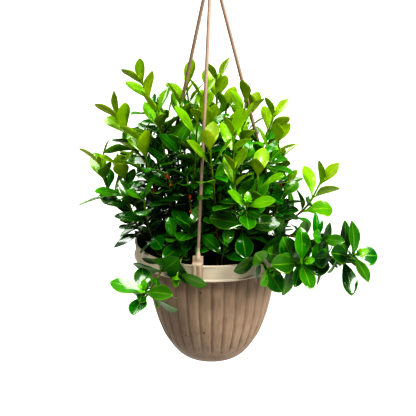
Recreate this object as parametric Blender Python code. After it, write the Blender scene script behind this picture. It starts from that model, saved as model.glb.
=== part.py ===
"""A goldfish plant in a fluted hanging pot: pot, soil, three-strand hanger and leafy stems.

Metres, +Z up. The origin is the centre of the pot's flat foot and the front of the pot faces -Y.
"""

import math
import random
from collections import namedtuple

import bmesh
import bpy
from mathutils import Matrix, Vector
from mathutils.bvhtree import BVHTree

# Pot
POT_HEIGHT = 0.123
RIM_RADIUS = 0.0765
BAND_HEIGHT = 0.0165
BEAD_HEIGHT = 0.002
BEAD_PROUD = 0.0008
BEAD_CHAMFER = 0.0006
FOOT_RADIUS = 0.0274
SHOULDER_RADIUS = 0.0635
BOWL_FULLNESS = 2.07
BOWL_FLARE = 1.575
WALL = 0.002
RIM_WALL = 0.0026
FLUTES = 32
FLUTE_DEPTH = 0.0007
FLUTE_TOP = 0.1005
FLUTE_BOTTOM = 0.024
FLUTE_FADE = 0.008
DRAIN_RADIUS = 0.004
DRAIN_CIRCLE = 0.016
DRAINS = 4
BAND_BOTTOM = POT_HEIGHT - BAND_HEIGHT
OUTSIDE_HEIGHTS = (0.004, 0.012, FLUTE_BOTTOM, 0.045, 0.072, FLUTE_TOP)
INSIDE_HEIGHTS = (0.008, 0.022, 0.055, BAND_BOTTOM - 0.006)

# Soil
SOIL_EDGE = 0.1108
SOIL_CROWN = 0.1125
SOIL_STEPS = 28
SOIL_GAP = 0.0004
HOLE_DEPTH = 0.013
HOLE_GAP = 0.0004
FOOT_REACH = 0.056
STRAIGHT_RISE = 0.003

# Hanger
STRAND_AZIMUTHS = (-10.0, 110.0, -130.0)
STRAND_RADIUS = 0.0017
STRAND_FOOT_RADIUS = 0.0734
STRAND_FOOT_HEIGHT = 0.1292
APEX_HEIGHT = 0.392
CLIP_WIDTH = 0.010
HUB_FOOT = APEX_HEIGHT - 0.006
HUB_HEIGHT = 0.020
HUB_RADII = (0.0033, 0.0055, 0.0055, 0.0030)
HUB_SHARES = (0.0, 0.25, 0.75, 1.0)
HOOK_ROD = 0.0023
HOOK_FOOT = APEX_HEIGHT + 0.004
HOOK_BEND = 0.0135
HOOK_CENTRE = 0.4215
HOOK_START = -90.0
HOOK_END = 205.0
HOOK_STEPS = 12

# A clip from the side, as radius and height: up inside the rim, over it and down outside, then back up
# and over to the socket that holds the strand.
CLIP_OUTLINE = (
    (0.0709, 0.1135), (0.0729, 0.1135), (0.0729, 0.1234), (0.0769, 0.1234),
    (0.0769, 0.1110), (0.0789, 0.1110), (0.0789, 0.1242), (0.0780, 0.1254),
    (0.0756, 0.1258), (0.0750, 0.1315), (0.0722, 0.1315), (0.0711, 0.1254),
)
CLIP_TOP = 0.1330

# Stems
STEM_SIDES = 4
STEM_SPREAD = 1.25
NODE_HALF_HEIGHT = 0.0010
STEM_FOOT_RADIUS = 0.0014
STEM_TIP_RADIUS = 0.0008
BUD_RADIUS = 0.0010
BUD_LENGTH = 0.007
BUD_SHOULDER = 0.3
LOWEST_LEAF = 0.008
ROUTE_STEP = 0.002
BARE_STEP = 0.045
ROUTE_CLEARANCE = 0.0012
ROUTE_SHIFT = 0.0015
ROUTE_TRIALS = 16
TURN_STEP = 2.39996

# Leaves
LEAF_THICKNESS = 0.0013
STALK_HALF_WIDTH = 0.0007
STALK_SHARE = 0.10
OVAL_SKEW = 1.12
OVAL_FULLNESS = 0.80
LEAF_CLEARANCE = 0.0008
POT_CLEARANCE = 0.0015
BOWL_CLEARANCE = 0.003
SAME_POINT = 1e-6
SMALL_LEAF = 0.016
SMALL_STATIONS = (0.55,)
LARGE_STATIONS = (0.44, 0.77)
TURN_SPREAD = 9.0
OPENING_SPREAD = 6.0
LEAST_OPENING = 18.0
FOLD_SPREAD = 4.0
TWIST_SPREAD = 18.0
CURL_RANGE = (-12.0, 16.0)
LENGTH_RANGE = (0.90, 1.10)
WIDTH_RANGE = (0.93, 1.07)

# Where a leaf is tried: degrees swung round its stem, degrees opened further, and scale. The first clear
# one is kept.
TRIALS = (
    (0, 0, 1.0), (14, 0, 1.0), (-14, 0, 1.0), (0, 12, 1.0), (0, -12, 1.0), (28, 6, 1.0), (-28, 6, 1.0),
    (14, -16, 0.95), (-14, -16, 0.95), (0, 22, 0.95), (40, 0, 0.95), (-40, 0, 0.95), (0, -24, 0.9),
    (20, 14, 0.85), (-20, 14, 0.85), (0, 0, 0.8), (30, -14, 0.8), (-30, -14, 0.8), (12, 20, 0.72),
    (-12, 20, 0.72), (0, 0, 0.62),
)

Habit = namedtuple("Habit", "gaps lengths openings width fold curl")
Leaf = namedtuple("Leaf", "face root along aside length width opening curl fold twist")

# Upright shoots carry their youngest leaves in a narrow V and open out further down. The rosette and the
# trailing shoots end in a cross of leaves. Low shoots are short, with wide dark leaves. Lists run from the
# tip down the stem.
SPRIG = Habit(
    gaps=(0.0020, 0.0150, 0.0180, 0.0180, 0.0180, 0.0180, 0.0180),
    lengths=(0.028, 0.033, 0.035, 0.034, 0.031, 0.029, 0.026),
    openings=(21.0, 33.0, 47.0, 58.0, 68.0, 76.0, 82.0),
    width=0.47,
    fold=12.0,
    curl=16.0,
)
ROSETTE = Habit(
    gaps=(0.0010, 0.0040, 0.0075, 0.0160, 0.0130, 0.0170, 0.0180),
    lengths=(0.012, 0.027, 0.030, 0.034, 0.032, 0.029, 0.025),
    openings=(38.0, 60.0, 68.0, 78.0, 84.0, 86.0, 86.0),
    width=0.56,
    fold=8.0,
    curl=10.0,
)
TRAILING = Habit(
    gaps=(0.0010, 0.0030, 0.0045, 0.0100, 0.0110, 0.0130, 0.0150),
    lengths=(0.012, 0.032, 0.034, 0.035, 0.033, 0.030, 0.026),
    openings=(34.0, 70.0, 72.0, 76.0, 82.0, 84.0, 84.0),
    width=0.56,
    fold=9.0,
    curl=14.0,
)
LOW = Habit(
    gaps=(0.0020, 0.0100, 0.0130, 0.0150, 0.0160, 0.0160, 0.0160),
    lengths=(0.023, 0.030, 0.032, 0.031, 0.029, 0.026, 0.024),
    openings=(32.0, 50.0, 66.0, 76.0, 84.0, 86.0, 86.0),
    width=0.54,
    fold=10.0,
    curl=22.0,
)

Stem = namedtuple("Stem", "name foot route habit pairs turn")

STEMS = (
    # Upright shoots on the left
    Stem("stem_left_top", (-0.027, 0.008),
         ((-0.036, 0.006, 0.190), (-0.050, 0.006, 0.238), (-0.066, 0.010, 0.277)), SPRIG, 6, 50.0),
    Stem("stem_left_upper", (-0.036, -0.010),
         ((-0.044, -0.013, 0.205), (-0.052, -0.015, 0.254)), SPRIG, 6, 25.0),
    Stem("stem_left_big", (-0.045, -0.001),
         ((-0.057, -0.008, 0.190), (-0.076, -0.006, 0.220), (-0.089, -0.004, 0.246)), SPRIG, 5, 40.0),
    Stem("stem_left_middle", (-0.046, -0.020),
         ((-0.057, -0.021, 0.190), (-0.067, -0.022, 0.228)), SPRIG, 5, 30.0),
    Stem("stem_left_far", (-0.056, 0.022),
         ((-0.073, 0.016, 0.137), (-0.091, 0.003, 0.158), (-0.102, 0.000, 0.175), (-0.108, 0.000, 0.198)),
         SPRIG, 4, 20.0),
    Stem("stem_left_low", (-0.059, 0.006),
         ((-0.068, -0.003, 0.145), (-0.080, -0.013, 0.175), (-0.087, -0.017, 0.204)), SPRIG, 5, 20.0),
    Stem("stem_left_olive", (-0.061, -0.014),
         ((-0.071, -0.021, 0.140), (-0.080, -0.028, 0.172)), LOW, 4, 80.0),
    Stem("stem_left_dark", (-0.041, 0.014),
         ((-0.050, 0.008, 0.185), (-0.058, -0.001, 0.228)), LOW, 6, 40.0),
    # Upright shoots in the middle
    Stem("stem_crown_left", (-0.014, 0.030),
         ((-0.019, 0.030, 0.210), (-0.024, 0.028, 0.270)), SPRIG, 6, 60.0),
    Stem("stem_crown_fork", (-0.021, 0.012),
         ((-0.026, 0.011, 0.205), (-0.030, 0.010, 0.256)), SPRIG, 6, 30.0),
    Stem("stem_crown_front", (-0.017, -0.023),
         ((-0.016, -0.032, 0.205), (-0.013, -0.038, 0.252)), SPRIG, 6, 70.0),
    Stem("stem_crown_strand", (-0.004, 0.006),
         ((-0.008, 0.003, 0.205), (-0.009, 0.000, 0.264)), SPRIG, 6, 25.0),
    Stem("stem_crown_back", (0.002, 0.030),
         ((0.004, 0.034, 0.215), (0.006, 0.038, 0.272)), SPRIG, 6, 35.0),
    Stem("stem_crown_right", (0.020, 0.010),
         ((0.027, 0.009, 0.210), (0.033, 0.008, 0.259)), SPRIG, 6, 40.0),
    Stem("stem_front_left", (0.006, -0.047),
         ((0.003, -0.054, 0.180), (-0.001, -0.060, 0.230)), SPRIG, 4, 75.0),
    Stem("stem_front_tall", (0.017, -0.031),
         ((0.020, -0.041, 0.195), (0.020, -0.050, 0.240)), SPRIG, 5, 40.0),
    Stem("stem_front_right", (0.027, -0.020),
         ((0.028, -0.026, 0.200), (0.029, -0.030, 0.244)), SPRIG, 5, 20.0),
    Stem("stem_front_short", (0.024, -0.047),
         ((0.022, -0.054, 0.170), (0.021, -0.060, 0.210)), SPRIG, 4, 50.0),
    Stem("stem_middle_left", (-0.034, -0.001),
         ((-0.038, -0.002, 0.180), (-0.042, -0.004, 0.217)), LOW, 6, 80.0),
    Stem("stem_middle_front", (-0.022, -0.010),
         ((-0.026, -0.021, 0.185), (-0.030, -0.028, 0.226)), LOW, 6, 55.0),
    Stem("stem_middle_tall", (-0.004, -0.013),
         ((-0.003, -0.015, 0.195), (-0.004, -0.015, 0.240)), SPRIG, 6, 80.0),
    Stem("stem_middle_near", (0.006, -0.026),
         ((0.008, -0.034, 0.175), (0.010, -0.038, 0.213)), LOW, 6, 20.0),
    Stem("stem_middle_core", (0.009, 0.016),
         ((0.012, 0.019, 0.205), (0.014, 0.020, 0.248)), SPRIG, 6, 50.0),
    # Right side
    Stem("stem_right_top", (0.036, 0.012),
         ((0.047, 0.008, 0.200), (0.060, 0.010, 0.244)), SPRIG, 5, 35.0),
    Stem("stem_right_upper", (0.043, 0.000),
         ((0.052, -0.004, 0.190), (0.062, -0.007, 0.223)), SPRIG, 5, 60.0),
    Stem("stem_right_front", (0.036, -0.040),
         ((0.041, -0.046, 0.170), (0.043, -0.052, 0.203)), SPRIG, 4, 70.0),
    Stem("stem_right_inner", (0.036, -0.013),
         ((0.042, -0.020, 0.175), (0.047, -0.024, 0.214)), LOW, 6, 65.0),
    Stem("stem_right_glossy", (0.050, -0.008),
         ((0.055, -0.011, 0.148), (0.058, -0.018, 0.176)), LOW, 4, 5.0),
    Stem("stem_right_side", (0.050, -0.018),
         ((0.060, -0.020, 0.150), (0.068, -0.020, 0.174)), LOW, 3, 45.0),
    Stem("stem_right_far", (0.058, 0.008),
         ((0.070, 0.006, 0.135), (0.084, 0.004, 0.145), (0.096, 0.000, 0.159), (0.106, -0.002, 0.180)),
         SPRIG, 4, 40.0),
    Stem("stem_right_bud", (0.048, 0.026),
         ((0.060, 0.023, 0.140), (0.071, 0.020, 0.168)), SPRIG, 3, 20.0),
    # Low shoots inside the front of the rim
    Stem("stem_rosette", (0.029, -0.034),
         ((0.026, -0.048, 0.140), (0.029, -0.064, 0.160), (0.033, -0.074, 0.184)), ROSETTE, 6, 90.0),
    Stem("stem_low_front", (0.010, -0.057),
         ((0.013, -0.063, 0.137),), LOW, 2, 60.0),
    Stem("stem_low_strand", (-0.021, -0.042),
         ((-0.022, -0.052, 0.138), (-0.020, -0.060, 0.158)), LOW, 3, 25.0),
    Stem("stem_low_middle", (-0.011, -0.036),
         ((-0.019, -0.044, 0.165), (-0.023, -0.048, 0.202)), LOW, 6, 0.0),
    Stem("stem_low_left", (-0.030, -0.026),
         ((-0.036, -0.034, 0.160), (-0.040, -0.040, 0.198)), LOW, 6, 30.0),
    Stem("stem_low_drooping", (-0.034, -0.040),
         ((-0.036, -0.048, 0.133), (-0.036, -0.055, 0.143)), LOW, 2, 75.0),
    Stem("stem_low_side", (-0.051, -0.033),
         ((-0.059, -0.039, 0.145), (-0.064, -0.044, 0.178)), LOW, 5, 15.0),
    # Trailing shoots over the rim
    Stem("trailing_right_long", (0.046, -0.025),
         ((0.058, -0.032, 0.127), (0.078, -0.044, 0.131), (0.105, -0.060, 0.128), (0.122, -0.071, 0.128),
          (0.134, -0.082, 0.137)),
         TRAILING, 7, 40.0),
    Stem("trailing_right_middle", (0.054, -0.014),
         ((0.066, -0.024, 0.134), (0.084, -0.040, 0.138), (0.097, -0.054, 0.140), (0.104, -0.066, 0.146)),
         LOW, 3, 20.0),
    Stem("trailing_right_short", (0.043, -0.036),
         ((0.054, -0.049, 0.130), (0.067, -0.061, 0.129), (0.077, -0.072, 0.124), (0.085, -0.083, 0.130)),
         TRAILING, 6, 30.0),
    Stem("trailing_right_low", (0.035, -0.053),
         ((0.041, -0.064, 0.130), (0.048, -0.078, 0.127), (0.053, -0.089, 0.125)), LOW, 3, 50.0),
    Stem("trailing_left_long", (-0.036, -0.052),
         ((-0.040, -0.064, 0.130), (-0.047, -0.084, 0.121), (-0.060, -0.100, 0.102),
          (-0.062, -0.108, 0.112)),
         TRAILING, 6, 90.0),
    Stem("trailing_left_short", (-0.024, -0.059),
         ((-0.027, -0.071, 0.130), (-0.030, -0.082, 0.125), (-0.032, -0.091, 0.119)), TRAILING, 2, 75.0),
    # Back
    Stem("stem_back_left", (-0.032, 0.034),
         ((-0.034, 0.043, 0.190), (-0.044, 0.049, 0.234)), SPRIG, 6, 25.0),
    Stem("stem_back_right", (0.022, 0.031),
         ((0.030, 0.036, 0.195), (0.038, 0.040, 0.238)), SPRIG, 6, 65.0),
    Stem("stem_back_left_side", (-0.050, 0.037),
         ((-0.062, 0.040, 0.160), (-0.074, 0.038, 0.198)), SPRIG, 5, 45.0),
    Stem("stem_back_right_side", (0.050, 0.041),
         ((0.060, 0.044, 0.150), (0.071, 0.043, 0.194)), SPRIG, 5, 10.0),
    Stem("stem_back_tall", (0.009, 0.050),
         ((0.014, 0.056, 0.170), (0.018, 0.060, 0.212)), SPRIG, 5, 55.0),
    Stem("stem_back_middle", (-0.015, 0.049),
         ((-0.019, 0.056, 0.170), (-0.022, 0.061, 0.212)), SPRIG, 5, 15.0),
    Stem("stem_back_low_left", (-0.034, 0.052),
         ((-0.040, 0.060, 0.140), (-0.046, 0.068, 0.166)), LOW, 3, 35.0),
    Stem("stem_back_low_right", (0.033, 0.054),
         ((0.041, 0.061, 0.140), (0.049, 0.067, 0.168)), LOW, 3, 5.0),
    Stem("trailing_back", (-0.003, 0.060),
         ((-0.003, 0.074, 0.132), (-0.005, 0.094, 0.140)), TRAILING, 4, 30.0),
)


def plastic(name, colour, roughness):
    """One plain finish: a Principled BSDF with the piece's own colour."""
    material = bpy.data.materials.new(name)
    material.use_nodes = True
    shader = material.node_tree.nodes["Principled BSDF"]
    shader.inputs["Base Color"].default_value = (*colour, 1.0)
    shader.inputs["Roughness"].default_value = roughness
    shader.inputs["Metallic"].default_value = 0.0
    return material


def object_from(name, mesh_data, material=None):
    """Turn a bmesh into a scene object with outward faces."""
    bmesh.ops.recalc_face_normals(mesh_data, faces=mesh_data.faces)
    mesh = bpy.data.meshes.new(name)
    mesh_data.to_mesh(mesh)
    mesh_data.free()
    piece = bpy.data.objects.new(name, mesh)
    if material:
        mesh.materials.append(material)
    bpy.context.collection.objects.link(piece)
    return piece


def apply_boolean(piece, others, operation):
    """Join or cut a piece with every object of a list in one step, then remove them."""
    group = bpy.data.collections.new(piece.name + "_group")
    bpy.context.scene.collection.children.link(group)
    for other in others:
        bpy.context.collection.objects.unlink(other)
        group.objects.link(other)
    step = piece.modifiers.new("join", "BOOLEAN")
    step.operation = operation
    step.operand_type = "COLLECTION"
    step.collection = group
    step.solver = "EXACT"
    bpy.context.view_layer.objects.active = piece
    bpy.ops.object.modifier_apply(modifier=step.name)
    for other in others:
        bpy.data.objects.remove(other)
    bpy.data.collections.remove(group)


def turned(name, profile, steps, material=None):
    """Spin a closed half outline of (radius, height) points about the Z axis."""
    mesh_data = bmesh.new()
    points = [mesh_data.verts.new((radius, 0.0, height)) for radius, height in profile]
    edges = [mesh_data.edges.new(pair) for pair in zip(points, points[1:])]
    bmesh.ops.spin(
        mesh_data,
        geom=points + edges,
        cent=(0.0, 0.0, 0.0),
        axis=(0.0, 0.0, 1.0),
        dvec=(0.0, 0.0, 0.0),
        angle=2.0 * math.pi,
        steps=steps,
        use_merge=True,
        use_duplicate=False,
    )
    bmesh.ops.remove_doubles(mesh_data, verts=mesh_data.verts, dist=1e-6)
    return object_from(name, mesh_data, material)


def prism(name, outline, start, direction, depth):
    """Extrude a closed outline of points by depth along direction."""
    mesh_data = bmesh.new()
    face = mesh_data.faces.new([mesh_data.verts.new(Vector(point) + start) for point in outline])
    grown = bmesh.ops.extrude_face_region(mesh_data, geom=[face])
    moved = [item for item in grown["geom"] if isinstance(item, bmesh.types.BMVert)]
    bmesh.ops.translate(mesh_data, verts=moved, vec=direction * depth)
    return object_from(name, mesh_data)


def bowl_radius(height):
    """Outer radius of the bowl below the rim band, without its flutes."""
    rise = height / BAND_BOTTOM
    spread = (1.0 - (1.0 - rise) ** BOWL_FULLNESS) ** (1.0 / BOWL_FLARE)
    return FOOT_RADIUS + (SHOULDER_RADIUS - FOOT_RADIUS) * spread


def flute_offset(height, angle):
    """How far the fluted wall stands out from the plain bowl at this place."""
    if not FLUTE_BOTTOM - FLUTE_FADE < height < FLUTE_TOP + 1e-6:
        return 0.0
    strength = min(1.0, (height - FLUTE_BOTTOM + FLUTE_FADE) / FLUTE_FADE)
    return -FLUTE_DEPTH * strength * math.cos(FLUTES * angle)


def pot_body():
    """The pot's outside as a solid: flat foot, fluted bowl, bead and rim band."""
    bead_radius = RIM_RADIUS + BEAD_PROUD
    profile = [(0.0, 0.0), (FOOT_RADIUS, 0.0)]
    profile += [(bowl_radius(height), height) for height in OUTSIDE_HEIGHTS]
    profile += [
        (SHOULDER_RADIUS, BAND_BOTTOM),
        (bead_radius, BAND_BOTTOM),
        (bead_radius, BAND_BOTTOM + BEAD_HEIGHT),
        (RIM_RADIUS, BAND_BOTTOM + BEAD_HEIGHT + BEAD_CHAMFER),
        (RIM_RADIUS, POT_HEIGHT),
        (0.0, POT_HEIGHT),
    ]
    body = turned("pot", profile, FLUTES * 2, plastic("pot_taupe", (0.33, 0.25, 0.17), 0.5))
    for vertex in body.data.vertices:
        radius = math.hypot(vertex.co.x, vertex.co.y)
        if radius > 0.5 * FOOT_RADIUS:
            angle = math.atan2(vertex.co.y, vertex.co.x)
            stretch = 1.0 + flute_offset(vertex.co.z, angle) / radius
            vertex.co.x *= stretch
            vertex.co.y *= stretch
    return body


def cavity_profile(inset, top):
    """Half outline of the pot's inside, set in by a further amount, up to a height."""
    wall = WALL + inset
    shelf = BAND_BOTTOM + wall
    rim_inner = RIM_RADIUS - RIM_WALL - inset
    profile = [(0.0, wall), (FOOT_RADIUS - wall, wall)]
    profile += [(bowl_radius(height) - wall, height) for height in INSIDE_HEIGHTS]
    profile += [(SHOULDER_RADIUS - wall, shelf), (rim_inner, shelf), (rim_inner, top)]
    return profile


def make_pot():
    """The fluted bowl with its rim band, flat foot and drain holes."""
    pot = pot_body()
    above = POT_HEIGHT + 0.01
    cutters = [turned("cavity", cavity_profile(0.0, above) + [(0.0, above)], FLUTES)]
    for number in range(DRAINS):
        angle = math.radians(45.0) + 2.0 * math.pi * number / DRAINS
        mesh_data = bmesh.new()
        bmesh.ops.create_cone(mesh_data, cap_ends=True, segments=8, radius1=DRAIN_RADIUS,
                              radius2=DRAIN_RADIUS, depth=WALL * 4.0)
        centre = Vector((math.cos(angle), math.sin(angle), 0.0)) * DRAIN_CIRCLE
        bmesh.ops.translate(mesh_data, verts=mesh_data.verts, vec=centre)
        cutters.append(object_from(f"drain_{number}", mesh_data))
    apply_boolean(pot, cutters, "DIFFERENCE")
    shade_round(pot)
    return pot


def shade_round(piece):
    """Smooth shading with sharp edges left sharp."""
    piece.data.shade_smooth()
    piece.data.set_sharp_from_angle(angle=math.radians(35.0))


def soil_height(radius):
    """Height of the soil's gently mounded top at this radius."""
    share = min(1.0, radius / RIM_RADIUS)
    return SOIL_CROWN + (SOIL_EDGE - SOIL_CROWN) * share * share


def make_soil():
    """The peat that fills the pot, with a plain hole for each stem."""
    edge_radius = RIM_RADIUS - RIM_WALL - SOIL_GAP
    profile = cavity_profile(SOIL_GAP, SOIL_EDGE)
    profile += [(radius, soil_height(radius)) for radius in (0.6 * edge_radius, 0.0)]
    soil = turned("soil", profile, SOIL_STEPS, plastic("soil_peat", (0.018, 0.012, 0.008), 0.95))
    holes = []
    for stem in STEMS:
        radius = STEM_FOOT_RADIUS * STEM_SPREAD + HOLE_GAP * math.sqrt(2.0)
        turns = [turn + math.radians(stem.turn) for turn in corner_turns(STEM_SIDES)]
        corners = [(math.cos(turn) * radius, math.sin(turn) * radius, 0.0) for turn in turns]
        start = stem_foot(stem) - Vector((0.0, 0.0, HOLE_GAP))
        up = Vector((0.0, 0.0, 1.0))
        holes.append(prism(f"hole_{stem.name}", corners, start, up, HOLE_DEPTH * 2.0))
    apply_boolean(soil, holes, "DIFFERENCE")
    return soil


def azimuth_frame(degrees):
    """Unit vectors outward and sideways for an azimuth counted from the front towards +X."""
    turn = math.radians(degrees)
    outward = Vector((math.sin(turn), -math.cos(turn), 0.0))
    sideways = Vector((math.cos(turn), math.sin(turn), 0.0))
    return outward, sideways


def ring_corners(points, radii, sides, turn=0.0):
    """Corners of a tube's rings, from foot to tip."""
    rings = []
    for point, radius, (along, right) in zip(points, radii, transported_frames(points)):
        ahead = along.cross(right)
        ring = []
        for angle in corner_turns(sides):
            offset = right * math.cos(angle + turn) + ahead * math.sin(angle + turn)
            ring.append(point + offset * radius)
        rings.append(ring)
    return rings


def tube_rings(mesh_data, corners):
    """Add the wall of a tube through rings of corners and close its foot; give back its vertices."""
    sides = len(corners[0])
    rings = [[mesh_data.verts.new(corner) for corner in ring] for ring in corners]
    for lower, upper in zip(rings, rings[1:]):
        for number in range(sides):
            following = (number + 1) % sides
            mesh_data.faces.new((lower[number], lower[following], upper[following], upper[number]))
    mesh_data.faces.new(list(reversed(rings[0])))
    return rings


def tube(name, points, radii, sides):
    """A closed tube through points, one radius to each."""
    mesh_data = bmesh.new()
    rings = tube_rings(mesh_data, ring_corners(points, radii, sides))
    mesh_data.faces.new(rings[-1])
    return object_from(name, mesh_data)


def corner_turns(sides):
    """Angles of the corners of a regular section, with flat sides along the axes."""
    return [math.pi / sides + 2.0 * math.pi * number / sides for number in range(sides)]


def transported_frames(points):
    """Heading and right-hand vector at each point, carried along without twist from world +X."""
    frames = []
    right = Vector((1.0, 0.0, 0.0))
    for number, point in enumerate(points):
        before = points[max(number - 1, 0)]
        after = points[min(number + 1, len(points) - 1)]
        along = (after - before).normalized()
        right = (right - along * right.dot(along)).normalized()
        frames.append((along, right))
    return frames


def strand_ends(degrees):
    """Lower and upper end of the strand at this azimuth."""
    outward, _ = azimuth_frame(degrees)
    foot = outward * STRAND_FOOT_RADIUS + Vector((0.0, 0.0, STRAND_FOOT_HEIGHT))
    return foot, Vector((0.0, 0.0, APEX_HEIGHT))


def make_clip(number, degrees):
    """A flat tab that hooks over the rim, seen from the side as one outline."""
    outward, sideways = azimuth_frame(degrees)
    corners = [outward * radius + Vector((0.0, 0.0, height)) for radius, height in CLIP_OUTLINE]
    return prism(f"clip_{number}", corners, sideways * (-0.5 * CLIP_WIDTH), sideways, CLIP_WIDTH)


def hook_route():
    """The hook's centre line: up out of the hub, then round its bend."""
    centre = Vector((0.0, 0.0, HOOK_CENTRE))
    route = [Vector((0.0, 0.0, HOOK_FOOT))]
    for step in range(HOOK_STEPS + 1):
        angle = math.radians(HOOK_START + (HOOK_END - HOOK_START) * step / HOOK_STEPS)
        route.append(centre + Vector((math.cos(angle), 0.0, math.sin(angle))) * HOOK_BEND)
    return route


def make_hanger():
    """Three straight strands with their clips, the hub and the hook, moulded in one piece."""
    hub_points = [Vector((0.0, 0.0, HUB_FOOT + HUB_HEIGHT * share)) for share in HUB_SHARES]
    hanger = tube("hanger", hub_points, HUB_RADII, 8)
    hanger.data.materials.append(plastic("hanger_plastic", (0.55, 0.40, 0.29), 0.45))
    limbs = []
    for number, degrees in enumerate(STRAND_AZIMUTHS):
        foot, apex = strand_ends(degrees)
        limbs.append(make_clip(number, degrees))
        limbs.append(tube(f"strand_{number}", [foot, apex], [STRAND_RADIUS, STRAND_RADIUS], 6))
    route = hook_route()
    limbs.append(tube("hook", route, [HOOK_ROD] * len(route), 8))
    apply_boolean(hanger, limbs, "UNION")
    shade_round(hanger)
    return hanger


def stem_foot(stem):
    """Lower end of a stem, in its hole in the soil and clear of the pot's wall."""
    radius = math.hypot(*stem.foot)
    inward = min(1.0, FOOT_REACH / radius)
    foot_height = soil_height(radius * inward) - HOLE_DEPTH
    return Vector((stem.foot[0] * inward, stem.foot[1] * inward, foot_height))


def smooth_route(stem, shift):
    """The stem's centre line from its foot: straight up out of the soil, then through its points."""
    foot = stem_foot(stem)
    start = foot + Vector((0.0, 0.0, HOLE_DEPTH + STRAIGHT_RISE))
    marks = [start] + [Vector(point) for point in stem.route]
    for number in range(1, len(marks) - 1):
        marks[number] += shift
    slopes = [Vector((0.0, 0.0, (marks[1] - marks[0]).length))]
    for number in range(1, len(marks) - 1):
        slopes.append((marks[number + 1] - marks[number - 1]) * 0.5)
    slopes.append(marks[-1] - marks[-2])
    line = [foot, start]
    for number in range(len(marks) - 1):
        steps = max(2, round((marks[number + 1] - marks[number]).length / ROUTE_STEP))
        for step in range(1, steps + 1):
            line.append(hermite(marks[number:number + 2], slopes[number:number + 2], step / steps))
    return line


def hermite(ends, slopes, share):
    """Point on the cubic between two points with given slopes."""
    square = share * share
    cube = square * share
    return (
        ends[0] * (2.0 * cube - 3.0 * square + 1.0)
        + slopes[0] * (cube - 2.0 * square + share)
        + ends[1] * (3.0 * square - 2.0 * cube)
        + slopes[1] * (cube - square)
    )


def clear_route(stem, earlier):
    """The stem's line, moved sideways in widening circles until it clears the stems before it."""
    reach = 2.0 * STEM_FOOT_RADIUS + ROUTE_CLEARANCE
    line = None
    for trial in range(ROUTE_TRIALS):
        turn = trial * TURN_STEP
        shift = Vector((math.cos(turn), math.sin(turn), 0.0)) * (ROUTE_SHIFT * math.sqrt(trial))
        line = smooth_route(stem, shift)
        if not any(lines_meet(line, other, reach) for other in earlier):
            return line
    return line


def lines_meet(line, other, reach):
    """True if two sampled lines come closer than reach."""
    return any((point - mark).length < reach for point in line[::2] for mark in other)


def distances(line):
    """Length along the line up to each of its points."""
    lengths = [0.0]
    for before, after in zip(line, line[1:]):
        lengths.append(lengths[-1] + (after - before).length)
    return lengths


def point_at(line, lengths, distance):
    """Point on the line, its heading and its right-hand vector at a distance from the foot."""
    frames = transported_frames(line)
    number = 1
    while number < len(line) - 1 and lengths[number] < distance:
        number += 1
    span = lengths[number] - lengths[number - 1]
    share = (distance - lengths[number - 1]) / span
    along, right = frames[number]
    return line[number - 1].lerp(line[number], share), along, right


def leaf_places(stem, line):
    """Distance from the foot of each pair of leaves, from the tip down."""
    places = []
    distance = distances(line)[-1]
    for gap in stem.habit.gaps[:stem.pairs]:
        distance -= gap
        if distance > HOLE_DEPTH + LOWEST_LEAF:
            places.append(distance)
    return places


def stem_radius(share):
    """Stem radius at a share of its length, thickest at the foot."""
    return STEM_FOOT_RADIUS + (STEM_TIP_RADIUS - STEM_FOOT_RADIUS) * share


def stem_marks(stem, line):
    """Distances from the foot of the stem's rings: foot, bare length, then two at each pair of leaves."""
    places = sorted(leaf_places(stem, line))
    start = HOLE_DEPTH + STRAIGHT_RISE
    bare = places[0] - NODE_HALF_HEIGHT - start
    pieces = max(1, math.ceil(bare / BARE_STEP))
    marks = [0.0] + [start + bare * step / pieces for step in range(pieces)]
    for place in places:
        marks += [place - NODE_HALF_HEIGHT, place + NODE_HALF_HEIGHT]
    return marks


def stem_points(stem, line):
    """Centres of the stem's rings from its foot to the shoulder of its end bud, then the bud's point."""
    lengths = distances(line)
    points = [point_at(line, lengths, mark)[0] for mark in stem_marks(stem, line)]
    tip, along, _ = point_at(line, lengths, lengths[-1])
    return points + [tip + along * BUD_LENGTH * BUD_SHOULDER, tip + along * BUD_LENGTH]


def stem_rings(stem, line):
    """Corners of the stem's rings, from its foot to the shoulder of its end bud."""
    total = distances(line)[-1]
    radii = [stem_radius(mark / total) * STEM_SPREAD for mark in stem_marks(stem, line)]
    radii.append(BUD_RADIUS * STEM_SPREAD)
    return ring_corners(stem_points(stem, line)[:-1], radii, STEM_SIDES, math.radians(stem.turn))


def make_leafy_stem(stem, line, pairs):
    """One closed body: the stem with its end bud, and each leaf grown out of a face at its node."""
    mesh_data = bmesh.new()
    rings = tube_rings(mesh_data, stem_rings(stem, line))
    point = mesh_data.verts.new(stem_points(stem, line)[-1])
    for number in range(STEM_SIDES):
        mesh_data.faces.new((rings[-1][number], rings[-1][(number + 1) % STEM_SIDES], point))
    for number, pair in enumerate(pairs):
        for side, leaf in pair:
            grow_blade(mesh_data, leaf, node_face(rings, number, side))
    bmesh.ops.triangulate(mesh_data, faces=[face for face in mesh_data.faces if len(face.verts) > 3])
    return object_from(stem.name, mesh_data, plastic(stem.name + "_green", (0.05, 0.22, 0.02), 0.3))


def node_face(rings, number, side):
    """Corners of the stem's face that a leaf of this pair and side grows from."""
    upper = rings[-2 * (number + 1)]
    lower = rings[-2 * (number + 1) - 1]
    first = (number + 2 * side) % STEM_SIDES
    start = (first + STEM_SIDES - 1) % STEM_SIDES
    return lower[start], lower[first], upper[first], upper[start]


def blade_root(corners):
    """The face's corners in the order of a blade's section: left, upper, right and lower."""
    near_left, near_right, far_right, far_left = corners
    return [far_right, far_left, near_left, near_right]


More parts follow.
